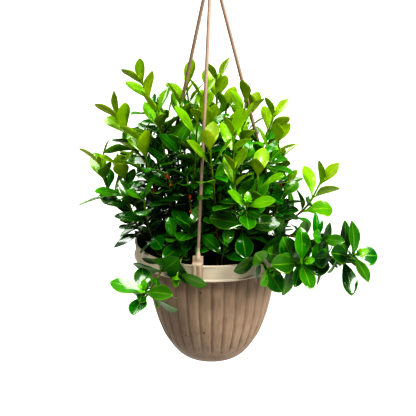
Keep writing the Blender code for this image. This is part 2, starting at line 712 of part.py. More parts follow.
def band(ring, following):
    """Triangles between two sections of a blade, split alike on its upper and its lower side."""
    triangles = []
    for number in range(4):
        a, b = ring[number], ring[(number + 1) % 4]
        c, d = following[(number + 1) % 4], following[number]
        triangles += ((a, b, c), (a, c, d)) if number % 2 else ((a, b, d), (b, c, d))
    return triangles


def grow_blade(mesh_data, leaf, corners):
    """Replace a face of the stem by a blade that starts at its four corners."""
    mesh_data.faces.remove(mesh_data.faces.get(corners))
    sections, tip = blade_sections(leaf, 0.0)
    ring = blade_root(corners)
    for section in sections:
        following = [mesh_data.verts.new(corner) for corner in section]
        for triangle in band(ring, following):
            mesh_data.faces.new(triangle)
        ring = following
    end = mesh_data.verts.new(tip)
    for number in range(4):
        mesh_data.faces.new((ring[number], ring[(number + 1) % 4], end))


def leaf_pose(leaf, share):
    """Centre, heading, upper normal and cross direction of the blade at a share of its length."""
    start = math.radians(leaf.opening)
    bend = math.radians(leaf.curl)
    angle = start + bend * share
    if abs(bend) < 1e-3:
        forward = math.cos(start) * share
        sideways = math.sin(start) * share
    else:
        forward = (math.sin(angle) - math.sin(start)) / bend
        sideways = (math.cos(start) - math.cos(angle)) / bend
    centre = leaf.root + (leaf.along * forward + leaf.aside * sideways) * leaf.length
    heading = leaf.along * math.cos(angle) + leaf.aside * math.sin(angle)
    upper = leaf.along * math.sin(angle) - leaf.aside * math.cos(angle)
    across = heading.cross(upper)
    turn = Matrix.Rotation(math.radians(leaf.twist) * share, 3, heading)
    return centre, heading, turn @ upper, turn @ across


def half_width(leaf, share):
    """Half width of the blade: a narrow stalk, then an oval that is widest past its middle."""
    blade = max(0.0, (share - STALK_SHARE) / (1.0 - STALK_SHARE))
    oval = math.sin(math.pi * blade ** OVAL_SKEW) ** OVAL_FULLNESS if blade < 1.0 else 0.0
    return max(STALK_HALF_WIDTH, 0.5 * leaf.width * oval)


def leaf_section(leaf, share, spare):
    """Left edge, upper middle, right edge and lower middle of the blade, grown all round by spare."""
    centre, _, upper, across = leaf_pose(leaf, share)
    reach = half_width(leaf, share) + spare
    lift = math.tan(math.radians(leaf.fold)) * reach
    thick = 0.5 * LEAF_THICKNESS + spare
    return (
        centre - across * reach + upper * lift,
        centre + upper * thick,
        centre + across * reach + upper * lift,
        centre - upper * thick,
    )


def blade_sections(leaf, spare):
    """The blade's sections past its stalk, and its tip."""
    stations = SMALL_STATIONS if leaf.length < SMALL_LEAF else LARGE_STATIONS
    tip, heading, _, _ = leaf_pose(leaf, 1.0)
    return [leaf_section(leaf, share, spare) for share in stations], tip + heading * spare


def blade_hull(leaf, spare):
    """Vertices and faces of the blade alone, for crossing tests."""
    sections, tip = blade_sections(leaf, spare)
    vertices = blade_root(leaf.face)
    faces = []
    for section in sections:
        low = len(vertices) - 4
        vertices += section
        faces += band(range(low, low + 4), range(low + 4, low + 8))
    low = len(vertices) - 4
    vertices.append(tip)
    faces += [(low + number, low + (number + 1) % 4, low + 4) for number in range(4)]
    return vertices, faces


def tree_of(vertices, faces):
    """Search tree for crossing tests, with the middle and reach of its box."""
    low = Vector([min(v[axis] for v in vertices) for axis in range(3)])
    high = Vector([max(v[axis] for v in vertices) for axis in range(3)])
    return BVHTree.FromPolygons(vertices, faces), (low + high) * 0.5, (high - low).length * 0.5


def line_tree(line, radius):
    """Search tree of an open four-sided tube round a line of points."""
    vertices = []
    faces = []
    for point, (along, right) in zip(line, transported_frames(line)):
        ahead = along.cross(right)
        for turn in corner_turns(STEM_SIDES):
            vertices.append(point + (right * math.cos(turn) + ahead * math.sin(turn)) * radius)
    for ring in range(len(line) - 1):
        for number in range(STEM_SIDES):
            a = ring * STEM_SIDES + number
            b = ring * STEM_SIDES + (number + 1) % STEM_SIDES
            faces.append((a, b, b + STEM_SIDES, a + STEM_SIDES))
    return tree_of(vertices, faces)


def meets(tree, others):
    """True if a piece crosses any of the others."""
    shape, centre, reach = tree
    for other, middle, extent in others:
        if (centre - middle).length < reach + extent and shape.overlap(other):
            return True
    return False


def in_pot(point):
    """True if a point would be in the pot, its rim, its clips or the soil, with a little clearance."""
    radius = math.hypot(point.x, point.y)
    clip_radii = [corner[0] for corner in CLIP_OUTLINE]
    if radius < min(clip_radii):
        return point.z < soil_height(radius) + POT_CLEARANCE
    if radius < max(clip_radii) + POT_CLEARANCE:
        return point.z < POT_HEIGHT + POT_CLEARANCE or (point.z < CLIP_TOP and near_clip(point))
    return point.z < BAND_BOTTOM and radius < bowl_radius(max(0.0, point.z)) + BOWL_CLEARANCE


def near_clip(point):
    """True if a point is beside one of the clips' centre lines."""
    for degrees in STRAND_AZIMUTHS:
        outward, sideways = azimuth_frame(degrees)
        if point.dot(outward) > 0.0 and abs(point.dot(sideways)) < 0.5 * CLIP_WIDTH + POT_CLEARANCE:
            return True
    return False


def leaf_fits(leaf, others):
    """True if a blade clears the pot, the strands and everything placed before it."""
    for step in range(1, 11):
        left, _, right, lower = leaf_section(leaf, step / 10.0, LEAF_CLEARANCE)
        if in_pot(left) or in_pot(right) or in_pot(lower):
            return False
    return not meets(tree_of(*blade_hull(leaf, LEAF_CLEARANCE)), others)


def stem_wall(stem, line):
    """Vertices and faces of a stem's wall and end bud."""
    vertices = [corner for ring in stem_rings(stem, line) for corner in ring]
    faces = []
    for low in range(0, len(vertices) - STEM_SIDES, STEM_SIDES):
        for number in range(STEM_SIDES):
            a = low + number
            b = low + (number + 1) % STEM_SIDES
            faces.append((a, b, b + STEM_SIDES, a + STEM_SIDES))
    end = len(vertices)
    last = end - STEM_SIDES
    faces += [(last + number, last + (number + 1) % STEM_SIDES, end) for number in range(STEM_SIDES)]
    return vertices + [stem_points(stem, line)[-1]], faces


def folds_into_stem(leaf, wall):
    """True if a blade crosses itself or its own stem, apart from the faces it shares a corner with."""
    vertices, faces = blade_hull(leaf, 0.0)
    low = len(wall[0])
    vertices = wall[0] + vertices
    faces = wall[1] + [tuple(low + corner for corner in face) for face in faces]
    shape = BVHTree.FromPolygons(vertices, faces)
    for first, second in shape.overlap(shape):
        near = min((vertices[a] - vertices[b]).length for a in faces[first] for b in faces[second])
        if near > SAME_POINT:
            return True
    return False


def turned_leaf(leaf, degrees, opening, scale):
    """The same leaf swung round its stem, opened further and scaled."""
    swing = Matrix.Rotation(math.radians(degrees), 3, leaf.along)
    return leaf._replace(
        aside=swing @ leaf.aside,
        opening=max(LEAST_OPENING, leaf.opening + opening),
        length=leaf.length * scale,
        width=leaf.width * scale,
    )


def first_fit(leaf, wall, others):
    """The leaf in the first of its trial positions that is clear, or nothing."""
    for trial in TRIALS:
        candidate = turned_leaf(leaf, *trial)
        if leaf_fits(candidate, others) and not folds_into_stem(candidate, wall):
            return candidate
    return None


def grow_pairs(stem, line, others):
    """The leaves of one stem, in opposite pairs that each turn a quarter, clear of all the others."""
    chance = random.Random(stem.name)
    lengths = distances(line)
    rings = stem_rings(stem, line)
    wall = stem_wall(stem, line)
    habit = stem.habit
    pairs = []
    for number, distance in enumerate(leaf_places(stem, line)):
        root, along, right = point_at(line, lengths, distance)
        pair = []
        for side in range(2):
            turn = stem.turn + 90.0 * number + 180.0 * side + chance.uniform(-TURN_SPREAD, TURN_SPREAD)
            length = habit.lengths[number] * chance.uniform(*LENGTH_RANGE)
            leaf = Leaf(
                face=node_face(rings, number, side),
                root=root,
                along=along,
                aside=Matrix.Rotation(math.radians(turn), 3, along) @ right,
                length=length,
                width=length * habit.width * chance.uniform(*WIDTH_RANGE),
                opening=habit.openings[number] + chance.uniform(-OPENING_SPREAD, OPENING_SPREAD),
                curl=habit.curl + chance.uniform(*CURL_RANGE),
                fold=habit.fold + chance.uniform(-FOLD_SPREAD, FOLD_SPREAD),
                twist=chance.uniform(-TWIST_SPREAD, TWIST_SPREAD),
            )
            placed = first_fit(leaf, wall, others)
            if placed:
                pair.append((side, placed))
                others.append(tree_of(*blade_hull(placed, 0.0)))
        pairs.append(pair)
    return pairs


def strand_line(degrees):
    """Points along a strand, as close together as those of a stem's line."""
    foot, apex = strand_ends(degrees)
    steps = round((apex - foot).length / ROUTE_STEP)
    return [foot.lerp(apex, step / steps) for step in range(steps + 1)]


def plan_plant():
    """The line and the pairs of leaves of every stem."""
    strand_lines = [strand_line(degrees) for degrees in STRAND_AZIMUTHS]
    lines = []
    for stem in STEMS:
        lines.append(clear_route(stem, strand_lines + lines))
    strands = [line_tree(line, STRAND_RADIUS * 2.0 + LEAF_CLEARANCE) for line in strand_lines]
    reach = STEM_FOOT_RADIUS * STEM_SPREAD + LEAF_CLEARANCE
    trees = [line_tree(stem_points(stem, line), reach) for stem, line in zip(STEMS, lines)]
    placed = []
    plan = []
    for number, (stem, line) in enumerate(zip(STEMS, lines)):
        others = strands + trees[:number] + trees[number + 1:] + placed
        before = len(others)
        pairs = grow_pairs(stem, line, others)
        placed += others[before:]
        plan.append((stem, line, pairs))
    return plan


def make_plant():
    """One solid for each leafy stem."""
    for stem, line, pairs in plan_plant():
        make_leafy_stem(stem, line, pairs)


def clear_scene():
    """Start from nothing."""
    for piece in list(bpy.data.objects):
        bpy.data.objects.remove(piece)


clear_scene()
make_pot()
make_soil()
make_hanger()
make_plant()
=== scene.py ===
"""Looks for a goldfish plant in a fluted hanging pot: moulded pot, peat, strand hanger and glossy leaves.

Metres, +Z up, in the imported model's own frame. The front of the pot faces -Y.
"""

import math
import random
from collections import namedtuple

import bmesh
import bpy
from mathutils import Matrix, Vector, noise
from mathutils.bvhtree import BVHTree

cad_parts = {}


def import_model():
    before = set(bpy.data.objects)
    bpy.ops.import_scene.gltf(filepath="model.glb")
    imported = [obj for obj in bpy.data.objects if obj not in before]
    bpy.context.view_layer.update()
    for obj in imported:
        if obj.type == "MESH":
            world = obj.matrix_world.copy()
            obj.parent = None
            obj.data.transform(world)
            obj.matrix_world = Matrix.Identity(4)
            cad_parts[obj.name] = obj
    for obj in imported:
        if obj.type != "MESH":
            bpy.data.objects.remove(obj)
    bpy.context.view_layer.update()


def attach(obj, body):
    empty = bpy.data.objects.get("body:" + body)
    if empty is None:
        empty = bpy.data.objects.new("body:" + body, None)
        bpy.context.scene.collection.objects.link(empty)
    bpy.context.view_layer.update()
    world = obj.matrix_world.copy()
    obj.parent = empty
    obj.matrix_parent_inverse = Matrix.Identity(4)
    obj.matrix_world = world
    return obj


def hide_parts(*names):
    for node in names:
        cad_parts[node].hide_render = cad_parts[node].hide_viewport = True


# Pot
POT_HEIGHT = 0.123
RIM_RADIUS = 0.0765
BAND_HEIGHT = 0.0165
BEAD_HEIGHT = 0.002
BEAD_PROUD = 0.0008
BEAD_CHAMFER = 0.0006
FOOT_RADIUS = 0.0274
SHOULDER_RADIUS = 0.0635
BOWL_FULLNESS = 2.07
BOWL_FLARE = 1.575
WALL = 0.002
RIM_WALL = 0.0026
FLUTES = 32
FLUTE_DEPTH = 0.0007
FLUTE_TOP = 0.1005
FLUTE_BOTTOM = 0.024
FLUTE_FADE = 0.008
DRAIN_RADIUS = 0.004
DRAIN_CIRCLE = 0.016
DRAINS = 4
BAND_BOTTOM = POT_HEIGHT - BAND_HEIGHT
INSIDE_HEIGHTS = (0.008, 0.022, 0.055, BAND_BOTTOM - 0.006)

# Soil
SOIL_EDGE = 0.1108
SOIL_CROWN = 0.1125
SOIL_GAP = 0.0004
HOLE_DEPTH = 0.013
FOOT_REACH = 0.056
STRAIGHT_RISE = 0.003

# Hanger
STRAND_AZIMUTHS = (-10.0, 110.0, -130.0)
STRAND_RADIUS = 0.0017
STRAND_FOOT_RADIUS = 0.0734
STRAND_FOOT_HEIGHT = 0.1292
APEX_HEIGHT = 0.392
CLIP_WIDTH = 0.010
HUB_FOOT = APEX_HEIGHT - 0.006
HUB_HEIGHT = 0.020
HUB_RADII = (0.0033, 0.0055)
HOOK_ROD = 0.0023
HOOK_FOOT = APEX_HEIGHT + 0.004
HOOK_BEND = 0.0135
HOOK_CENTRE = 0.4215
HOOK_START = -90.0
HOOK_END = 205.0
HOOK_STEPS = 12

# A clip from the side, as radius and height: up inside the rim, over it and down outside, then back up
# and over to the socket that holds the strand.
CLIP_OUTLINE = (
    (0.0709, 0.1135), (0.0729, 0.1135), (0.0729, 0.1234), (0.0769, 0.1234),
    (0.0769, 0.1110), (0.0789, 0.1110), (0.0789, 0.1242), (0.0780, 0.1254),
    (0.0756, 0.1258), (0.0750, 0.1315), (0.0722, 0.1315), (0.0711, 0.1254),
)
CLIP_TOP = 0.1330

# Stems
STEM_SIDES = 4
STEM_SPREAD = 1.25
NODE_HALF_HEIGHT = 0.0010
STEM_FOOT_RADIUS = 0.0014
STEM_TIP_RADIUS = 0.0008
BUD_RADIUS = 0.0010
BUD_LENGTH = 0.007
BUD_SHOULDER = 0.3
LOWEST_LEAF = 0.008
ROUTE_STEP = 0.002
BARE_STEP = 0.045
ROUTE_CLEARANCE = 0.0012
ROUTE_SHIFT = 0.0015
ROUTE_TRIALS = 16
TURN_STEP = 2.39996

# Leaves
LEAF_THICKNESS = 0.0013
STALK_HALF_WIDTH = 0.0007
STALK_SHARE = 0.10
OVAL_SKEW = 1.12
OVAL_FULLNESS = 0.80
LEAF_CLEARANCE = 0.0008
POT_CLEARANCE = 0.0015
BOWL_CLEARANCE = 0.003
SAME_POINT = 1e-6
POT_TESTS = 10
LEAST_BEND = 1e-3
SMALL_LEAF = 0.016
SMALL_STATIONS = (0.55,)
LARGE_STATIONS = (0.44, 0.77)
TURN_SPREAD = 9.0
OPENING_SPREAD = 6.0
LEAST_OPENING = 18.0
FOLD_SPREAD = 4.0
TWIST_SPREAD = 18.0
CURL_RANGE = (-12.0, 16.0)
LENGTH_RANGE = (0.90, 1.10)
WIDTH_RANGE = (0.93, 1.07)

# Where a leaf is tried: degrees swung round its stem, degrees opened further, and scale. The first clear
# one is kept.
TRIALS = (
    (0, 0, 1.0), (14, 0, 1.0), (-14, 0, 1.0), (0, 12, 1.0), (0, -12, 1.0), (28, 6, 1.0), (-28, 6, 1.0),
    (14, -16, 0.95), (-14, -16, 0.95), (0, 22, 0.95), (40, 0, 0.95), (-40, 0, 0.95), (0, -24, 0.9),
    (20, 14, 0.85), (-20, 14, 0.85), (0, 0, 0.8), (30, -14, 0.8), (-30, -14, 0.8), (12, 20, 0.72),
    (-12, 20, 0.72), (0, 0, 0.62),
)

Habit = namedtuple("Habit", "gaps lengths openings width fold curl")
Leaf = namedtuple("Leaf", "face root along aside length width opening curl fold twist")

# Upright shoots carry their youngest leaves in a narrow V and open out further down. The rosette and the
# trailing shoots end in a cross of leaves. Low shoots are short, with wide dark leaves. Lists run from the
# tip down the stem.
SPRIG = Habit(
    gaps=(0.0020, 0.0150, 0.0180, 0.0180, 0.0180, 0.0180, 0.0180),
    lengths=(0.028, 0.033, 0.035, 0.034, 0.031, 0.029, 0.026),
    openings=(21.0, 33.0, 47.0, 58.0, 68.0, 76.0, 82.0),
    width=0.47,
    fold=12.0,
    curl=16.0,
)
ROSETTE = Habit(
    gaps=(0.0010, 0.0040, 0.0075, 0.0160, 0.0130, 0.0170, 0.0180),
    lengths=(0.012, 0.027, 0.030, 0.034, 0.032, 0.029, 0.025),
    openings=(38.0, 60.0, 68.0, 78.0, 84.0, 86.0, 86.0),
    width=0.56,
    fold=8.0,
    curl=10.0,
)
TRAILING = Habit(
    gaps=(0.0010, 0.0030, 0.0045, 0.0100, 0.0110, 0.0130, 0.0150),
    lengths=(0.012, 0.032, 0.034, 0.035, 0.033, 0.030, 0.026),
    openings=(34.0, 70.0, 72.0, 76.0, 82.0, 84.0, 84.0),
    width=0.56,
    fold=9.0,
    curl=14.0,
)
LOW = Habit(
    gaps=(0.0020, 0.0100, 0.0130, 0.0150, 0.0160, 0.0160, 0.0160),
    lengths=(0.023, 0.030, 0.032, 0.031, 0.029, 0.026, 0.024),
    openings=(32.0, 50.0, 66.0, 76.0, 84.0, 86.0, 86.0),
    width=0.54,
    fold=10.0,
    curl=22.0,
)

Stem = namedtuple("Stem", "name foot route habit pairs turn")

STEMS = (
    # Upright shoots on the left
    Stem("stem_left_top", (-0.027, 0.008),
         ((-0.036, 0.006, 0.190), (-0.050, 0.006, 0.238), (-0.066, 0.010, 0.277)), SPRIG, 6, 50.0),
    Stem("stem_left_upper", (-0.036, -0.010),
         ((-0.044, -0.013, 0.205), (-0.052, -0.015, 0.254)), SPRIG, 6, 25.0),
    Stem("stem_left_big", (-0.045, -0.001),
         ((-0.057, -0.008, 0.190), (-0.076, -0.006, 0.220), (-0.089, -0.004, 0.246)), SPRIG, 5, 40.0),
    Stem("stem_left_middle", (-0.046, -0.020),
         ((-0.057, -0.021, 0.190), (-0.067, -0.022, 0.228)), SPRIG, 5, 30.0),
    Stem("stem_left_far", (-0.056, 0.022),
         ((-0.073, 0.016, 0.137), (-0.091, 0.003, 0.158), (-0.102, 0.000, 0.175), (-0.108, 0.000, 0.198)),
         SPRIG, 4, 20.0),
    Stem("stem_left_low", (-0.059, 0.006),
         ((-0.068, -0.003, 0.145), (-0.080, -0.013, 0.175), (-0.087, -0.017, 0.204)), SPRIG, 5, 20.0),
    Stem("stem_left_olive", (-0.061, -0.014),
         ((-0.071, -0.021, 0.140), (-0.080, -0.028, 0.172)), LOW, 4, 80.0),
    Stem("stem_left_dark", (-0.041, 0.014),
         ((-0.050, 0.008, 0.185), (-0.058, -0.001, 0.228)), LOW, 6, 40.0),
    # Upright shoots in the middle
    Stem("stem_crown_left", (-0.014, 0.030),
         ((-0.019, 0.030, 0.210), (-0.024, 0.028, 0.270)), SPRIG, 6, 60.0),
    Stem("stem_crown_fork", (-0.021, 0.012),
         ((-0.026, 0.011, 0.205), (-0.030, 0.010, 0.256)), SPRIG, 6, 30.0),
    Stem("stem_crown_front", (-0.017, -0.023),
         ((-0.016, -0.032, 0.205), (-0.013, -0.038, 0.252)), SPRIG, 6, 70.0),
    Stem("stem_crown_strand", (-0.004, 0.006),
         ((-0.008, 0.003, 0.205), (-0.009, 0.000, 0.264)), SPRIG, 6, 25.0),
    Stem("stem_crown_back", (0.002, 0.030),
         ((0.004, 0.034, 0.215), (0.006, 0.038, 0.272)), SPRIG, 6, 35.0),
    Stem("stem_crown_right", (0.020, 0.010),
         ((0.027, 0.009, 0.210), (0.033, 0.008, 0.259)), SPRIG, 6, 40.0),
    Stem("stem_front_left", (0.006, -0.047),
         ((0.003, -0.054, 0.180), (-0.001, -0.060, 0.230)), SPRIG, 4, 75.0),
    Stem("stem_front_tall", (0.017, -0.031),
         ((0.020, -0.041, 0.195), (0.020, -0.050, 0.240)), SPRIG, 5, 40.0),
    Stem("stem_front_right", (0.027, -0.020),
         ((0.028, -0.026, 0.200), (0.029, -0.030, 0.244)), SPRIG, 5, 20.0),
    Stem("stem_front_short", (0.024, -0.047),
         ((0.022, -0.054, 0.170), (0.021, -0.060, 0.210)), SPRIG, 4, 50.0),
    Stem("stem_middle_left", (-0.034, -0.001),
         ((-0.038, -0.002, 0.180), (-0.042, -0.004, 0.217)), LOW, 6, 80.0),
    Stem("stem_middle_front", (-0.022, -0.010),
         ((-0.026, -0.021, 0.185), (-0.030, -0.028, 0.226)), LOW, 6, 55.0),
    Stem("stem_middle_tall", (-0.004, -0.013),
         ((-0.003, -0.015, 0.195), (-0.004, -0.015, 0.240)), SPRIG, 6, 80.0),
    Stem("stem_middle_near", (0.006, -0.026),
         ((0.008, -0.034, 0.175), (0.010, -0.038, 0.213)), LOW, 6, 20.0),
    Stem("stem_middle_core", (0.009, 0.016),
         ((0.012, 0.019, 0.205), (0.014, 0.020, 0.248)), SPRIG, 6, 50.0),
    # Right side
    Stem("stem_right_top", (0.036, 0.012),
         ((0.047, 0.008, 0.200), (0.060, 0.010, 0.244)), SPRIG, 5, 35.0),
    Stem("stem_right_upper", (0.043, 0.000),
         ((0.052, -0.004, 0.190), (0.062, -0.007, 0.223)), SPRIG, 5, 60.0),
    Stem("stem_right_front", (0.036, -0.040),
         ((0.041, -0.046, 0.170), (0.043, -0.052, 0.203)), SPRIG, 4, 70.0),
    Stem("stem_right_inner", (0.036, -0.013),
         ((0.042, -0.020, 0.175), (0.047, -0.024, 0.214)), LOW, 6, 65.0),
    Stem("stem_right_glossy", (0.050, -0.008),
         ((0.055, -0.011, 0.148), (0.058, -0.018, 0.176)), LOW, 4, 5.0),
    Stem("stem_right_side", (0.050, -0.018),
         ((0.060, -0.020, 0.150), (0.068, -0.020, 0.174)), LOW, 3, 45.0),
    Stem("stem_right_far", (0.058, 0.008),
         ((0.070, 0.006, 0.135), (0.084, 0.004, 0.145), (0.096, 0.000, 0.159), (0.106, -0.002, 0.180)),
         SPRIG, 4, 40.0),
    Stem("stem_right_bud", (0.048, 0.026),
         ((0.060, 0.023, 0.140), (0.071, 0.020, 0.168)), SPRIG, 3, 20.0),
    # Low shoots inside the front of the rim
    Stem("stem_rosette", (0.029, -0.034),
         ((0.026, -0.048, 0.140), (0.029, -0.064, 0.160), (0.033, -0.074, 0.184)), ROSETTE, 6, 90.0),
    Stem("stem_low_front", (0.010, -0.057),
         ((0.013, -0.063, 0.137),), LOW, 2, 60.0),
    Stem("stem_low_strand", (-0.021, -0.042),
         ((-0.022, -0.052, 0.138), (-0.020, -0.060, 0.158)), LOW, 3, 25.0),
    Stem("stem_low_middle", (-0.011, -0.036),
         ((-0.019, -0.044, 0.165), (-0.023, -0.048, 0.202)), LOW, 6, 0.0),
    Stem("stem_low_left", (-0.030, -0.026),
         ((-0.036, -0.034, 0.160), (-0.040, -0.040, 0.198)), LOW, 6, 30.0),
    Stem("stem_low_drooping", (-0.034, -0.040),
         ((-0.036, -0.048, 0.133), (-0.036, -0.055, 0.143)), LOW, 2, 75.0),
    Stem("stem_low_side", (-0.051, -0.033),
         ((-0.059, -0.039, 0.145), (-0.064, -0.044, 0.178)), LOW, 5, 15.0),
    # Trailing shoots over the rim
    Stem("trailing_right_long", (0.046, -0.025),
         ((0.058, -0.032, 0.127), (0.078, -0.044, 0.131), (0.105, -0.060, 0.128), (0.122, -0.071, 0.128),
          (0.134, -0.082, 0.137)),
         TRAILING, 7, 40.0),
    Stem("trailing_right_middle", (0.054, -0.014),
         ((0.066, -0.024, 0.134), (0.084, -0.040, 0.138), (0.097, -0.054, 0.140), (0.104, -0.066, 0.146)),
         LOW, 3, 20.0),
    Stem("trailing_right_short", (0.043, -0.036),
         ((0.054, -0.049, 0.130), (0.067, -0.061, 0.129), (0.077, -0.072, 0.124), (0.085, -0.083, 0.130)),
         TRAILING, 6, 30.0),
    Stem("trailing_right_low", (0.035, -0.053),
         ((0.041, -0.064, 0.130), (0.048, -0.078, 0.127), (0.053, -0.089, 0.125)), LOW, 3, 50.0),
    Stem("trailing_left_long", (-0.036, -0.052),
         ((-0.040, -0.064, 0.130), (-0.047, -0.084, 0.121), (-0.060, -0.100, 0.102),
          (-0.062, -0.108, 0.112)),
         TRAILING, 6, 90.0),
    Stem("trailing_left_short", (-0.024, -0.059),
         ((-0.027, -0.071, 0.130), (-0.030, -0.082, 0.125), (-0.032, -0.091, 0.119)), TRAILING, 2, 75.0),
    # Back
    Stem("stem_back_left", (-0.032, 0.034),
         ((-0.034, 0.043, 0.190), (-0.044, 0.049, 0.234)), SPRIG, 6, 25.0),
    Stem("stem_back_right", (0.022, 0.031),
         ((0.030, 0.036, 0.195), (0.038, 0.040, 0.238)), SPRIG, 6, 65.0),
    Stem("stem_back_left_side", (-0.050, 0.037),
         ((-0.062, 0.040, 0.160), (-0.074, 0.038, 0.198)), SPRIG, 5, 45.0),
    Stem("stem_back_right_side", (0.050, 0.041),
         ((0.060, 0.044, 0.150), (0.071, 0.043, 0.194)), SPRIG, 5, 10.0),
    Stem("stem_back_tall", (0.009, 0.050),
         ((0.014, 0.056, 0.170), (0.018, 0.060, 0.212)), SPRIG, 5, 55.0),
    Stem("stem_back_middle", (-0.015, 0.049),
         ((-0.019, 0.056, 0.170), (-0.022, 0.061, 0.212)), SPRIG, 5, 15.0),
    Stem("stem_back_low_left", (-0.034, 0.052),
         ((-0.040, 0.060, 0.140), (-0.046, 0.068, 0.166)), LOW, 3, 35.0),
    Stem("stem_back_low_right", (0.033, 0.054),
         ((0.041, 0.061, 0.140), (0.049, 0.067, 0.168)), LOW, 3, 5.0),
    Stem("trailing_back", (-0.003, 0.060),
         ((-0.003, 0.074, 0.132), (-0.005, 0.094, 0.140)), TRAILING, 4, 30.0),
)

# Fine pot: samples round it and up its side, its arcs in degrees and steps, and how square its flutes are
SIDES_PER_FLUTE = 12
BOWL_ROWS = 56
ROW_POWER = 1.5
FOOT_EDGE = 0.001
BEAD_ARC = (-70.0, 60.0, 6)
BAND_LEAN = (0.0004, 0.0006)
BAND_HEAD = 0.0042
LIP_RADIUS = 0.0012
LIP_ARC = (-50.0, 90.0, 7)
INNER_LIP_ARC = (90.0, 180.0, 5)
SHELF_EDGE = 0.001
OUTER_SKIN = 0.4 * WALL
GROOVE_WIDTH = 0.85
FLUTE_END = 0.003
DRAIN_TURN = 45.0
DRAIN_SIDES = 24

# Finish of the moulded plastic. Clouds are a noise's scale, detail and roughness, and a bump is its
# strength and distance.
CLOUD_RANGE = (0.2, 0.8)
PLASTIC_CLOUDS = (38.0, 4.0, 0.6)
PLASTIC_GRAIN = (900.0, 2.0, 0.6)
PLASTIC_ROUGHNESS = (0.40, 0.56)
PLASTIC_BUMP = (0.25, 0.0002)
BAND_BLUR = 0.0004
# Painted shade in the flutes' grooves: where the groove mask starts, and how dark the grooves are painted
GROOVE_EDGE = 0.72
GROOVE_SHADE = 0.14
# Painted shade that darkens the bowl towards its foot
FOOT_SHADE = 0.30
STREAK_DIRT = 0.17
STREAK_SCALE = (420.0, 420.0, 16.0)
STREAK_CLOUDS = (1.0, 3.0, 0.6)
STREAK_RANGE = (0.42, 0.66)
DUST_RANGE = (0.35, 0.75)
MOST_DIRT_AND_SHADE = 0.9
FLECK_SCALE = 95.0
FLECK_RANGE = (0.90, 0.93)
STAIN_CORE = 0.4
STAINS = (
    ((-0.0073, -0.0550, 0.0449), 0.0018),
    ((-0.0251, -0.0475, 0.0384), 0.0014),
    ((0.0190, -0.0580, 0.0620), 0.0009),
)

# Finish of the peat, the stems and the flower buds
PEAT_CLUMPS = (240.0, 4.0, 0.65)
PEAT_BITS = (0.48, 0.78)
PEAT_GRIT = (1100.0, 3.0, 0.7)
GRIT_SHARE = 0.5
PEAT_ROUGHNESS = (0.80, 0.98)
PEAT_BUMP = (1.0, 0.0012)
BARK_CLOUDS = (260.0, 3.0, 0.6)
BARK_SPOTS = (0.35, 0.7)
BARK_ROUGHNESS = (0.42, 0.62)
BARK_BUMP = (0.5, 0.0003)
PETAL_SCALE = 320.0
PETAL_FLUSH = (0.35, 0.65)
PETAL_ROUGHNESS = (0.34, 0.46)

# Angle in degrees past which an edge is drawn sharp
SHARP = 40.0
BLUNT = 60.0
CRUMB_SHARP = 30.0

# Fine soil
SOIL_SIDES = 120
SOIL_RINGS = 40
SOIL_LUMP = 0.0016
SOIL_LUMP_SCALE = 160.0
SOIL_LUMP_NOISE = (0.8, 2.2, 4)
SOIL_LAYER = 0.3
SOIL_MARGIN = 0.0005
CRUMBS = 900
SPECKS = 60
CRUMB_SEED = 11
SPECK_SEED = 12
CRUMB_SIZES = (0.0004, 0.0015)
CRUMB_MARGIN = 0.002
CRUMB_RISE = 0.25
CRUMB_STRETCH = (0.7, 1.5)
CRUMB_FLATNESS = (0.5, 0.9)
CRUMB_ROUGHNESS = (1400.0, 0.0002)

# Fine hanger
CLIP_EDGE = 0.0003
RIDGE_WIDTH = 0.0026
RIDGE_PROUD = 0.0007
RIDGE_OFFSET = 0.0024
RIDGE_EDGE = 0.0005
SOCKET_HEIGHT = 0.0060
SOCKET_SINK = 0.001
SOCKET_RADII = (0.0027, 0.0026, 0.0018)
STRAND_SIDES = 14
STRAND_STRIDE = 4
ROD_SIDES = 16
HUB_SIDES = 32
HUB_ROWS = 24
HUB_SKEW = 0.9
HUB_FULLNESS = 0.6
HUB_GRIPS = 6.0
GRIP_HEIGHT = 0.0003
HOOK_FINENESS = 4
HOOK_TAIL = ((0.0008, 0.8), (0.0013, 0.35))

# Finish of the leaves: shares of the half width or of the length, and how strongly rib and veins show
RIB_COLOUR = (168, 206, 60)
RIB_SHARE = 0.10
VEINS = 11.0
VEIN_SLANT = 2.6
VEIN_SHARE = 0.16
VEIN_END = 0.75
EDGE_START = 0.78
TIP_START = 0.93
UPPER_RIB = 0.26
UPPER_VEINS = 0.07
LOWER_RIB = 0.35
LOWER_VEINS = 0.16
LEAF_PATCHES = (70.0, 3.0, 0.55)
PATCH_LIGHT = (0.25, 0.75, 0.84, 1.14)
PATCH_ROUGHNESS = (0.3, 0.8, -0.02, 0.05)
TINT_LIGHT = (0.82, 1.16)
TINT_HUE = (0.490, 0.512)
AGE_ROUGHNESS = (0.30, 0.13)
UNDERSIDE_ROUGHNESS = 0.22
UNDERSIDE_WAX = 0.15
WAX_ROUGHNESS = 0.10
LEAF_SPECULAR = 0.35
QUILT_SCALE = 420.0
QUILT_HEIGHT = 0.22
VEIN_DEPTH = 0.35
LEAF_BUMP = (0.35, 0.0003)

# Each kind of leaf: young, old, young underside and old underside colour, pale edge and wax shine
LEAF_SKINS = {
    "sprig": ((126, 158, 10), (38, 122, 7), (146, 170, 12), (78, 118, 10), 0.18, 0.45),
    "rosette": ((104, 166, 5), (5, 78, 4), (108, 160, 6), (54, 104, 6), 0.17, 0.65),
    "low": ((76, 140, 6), (9, 92, 5), (96, 142, 6), (46, 92, 6), 0.12, 0.65),
}

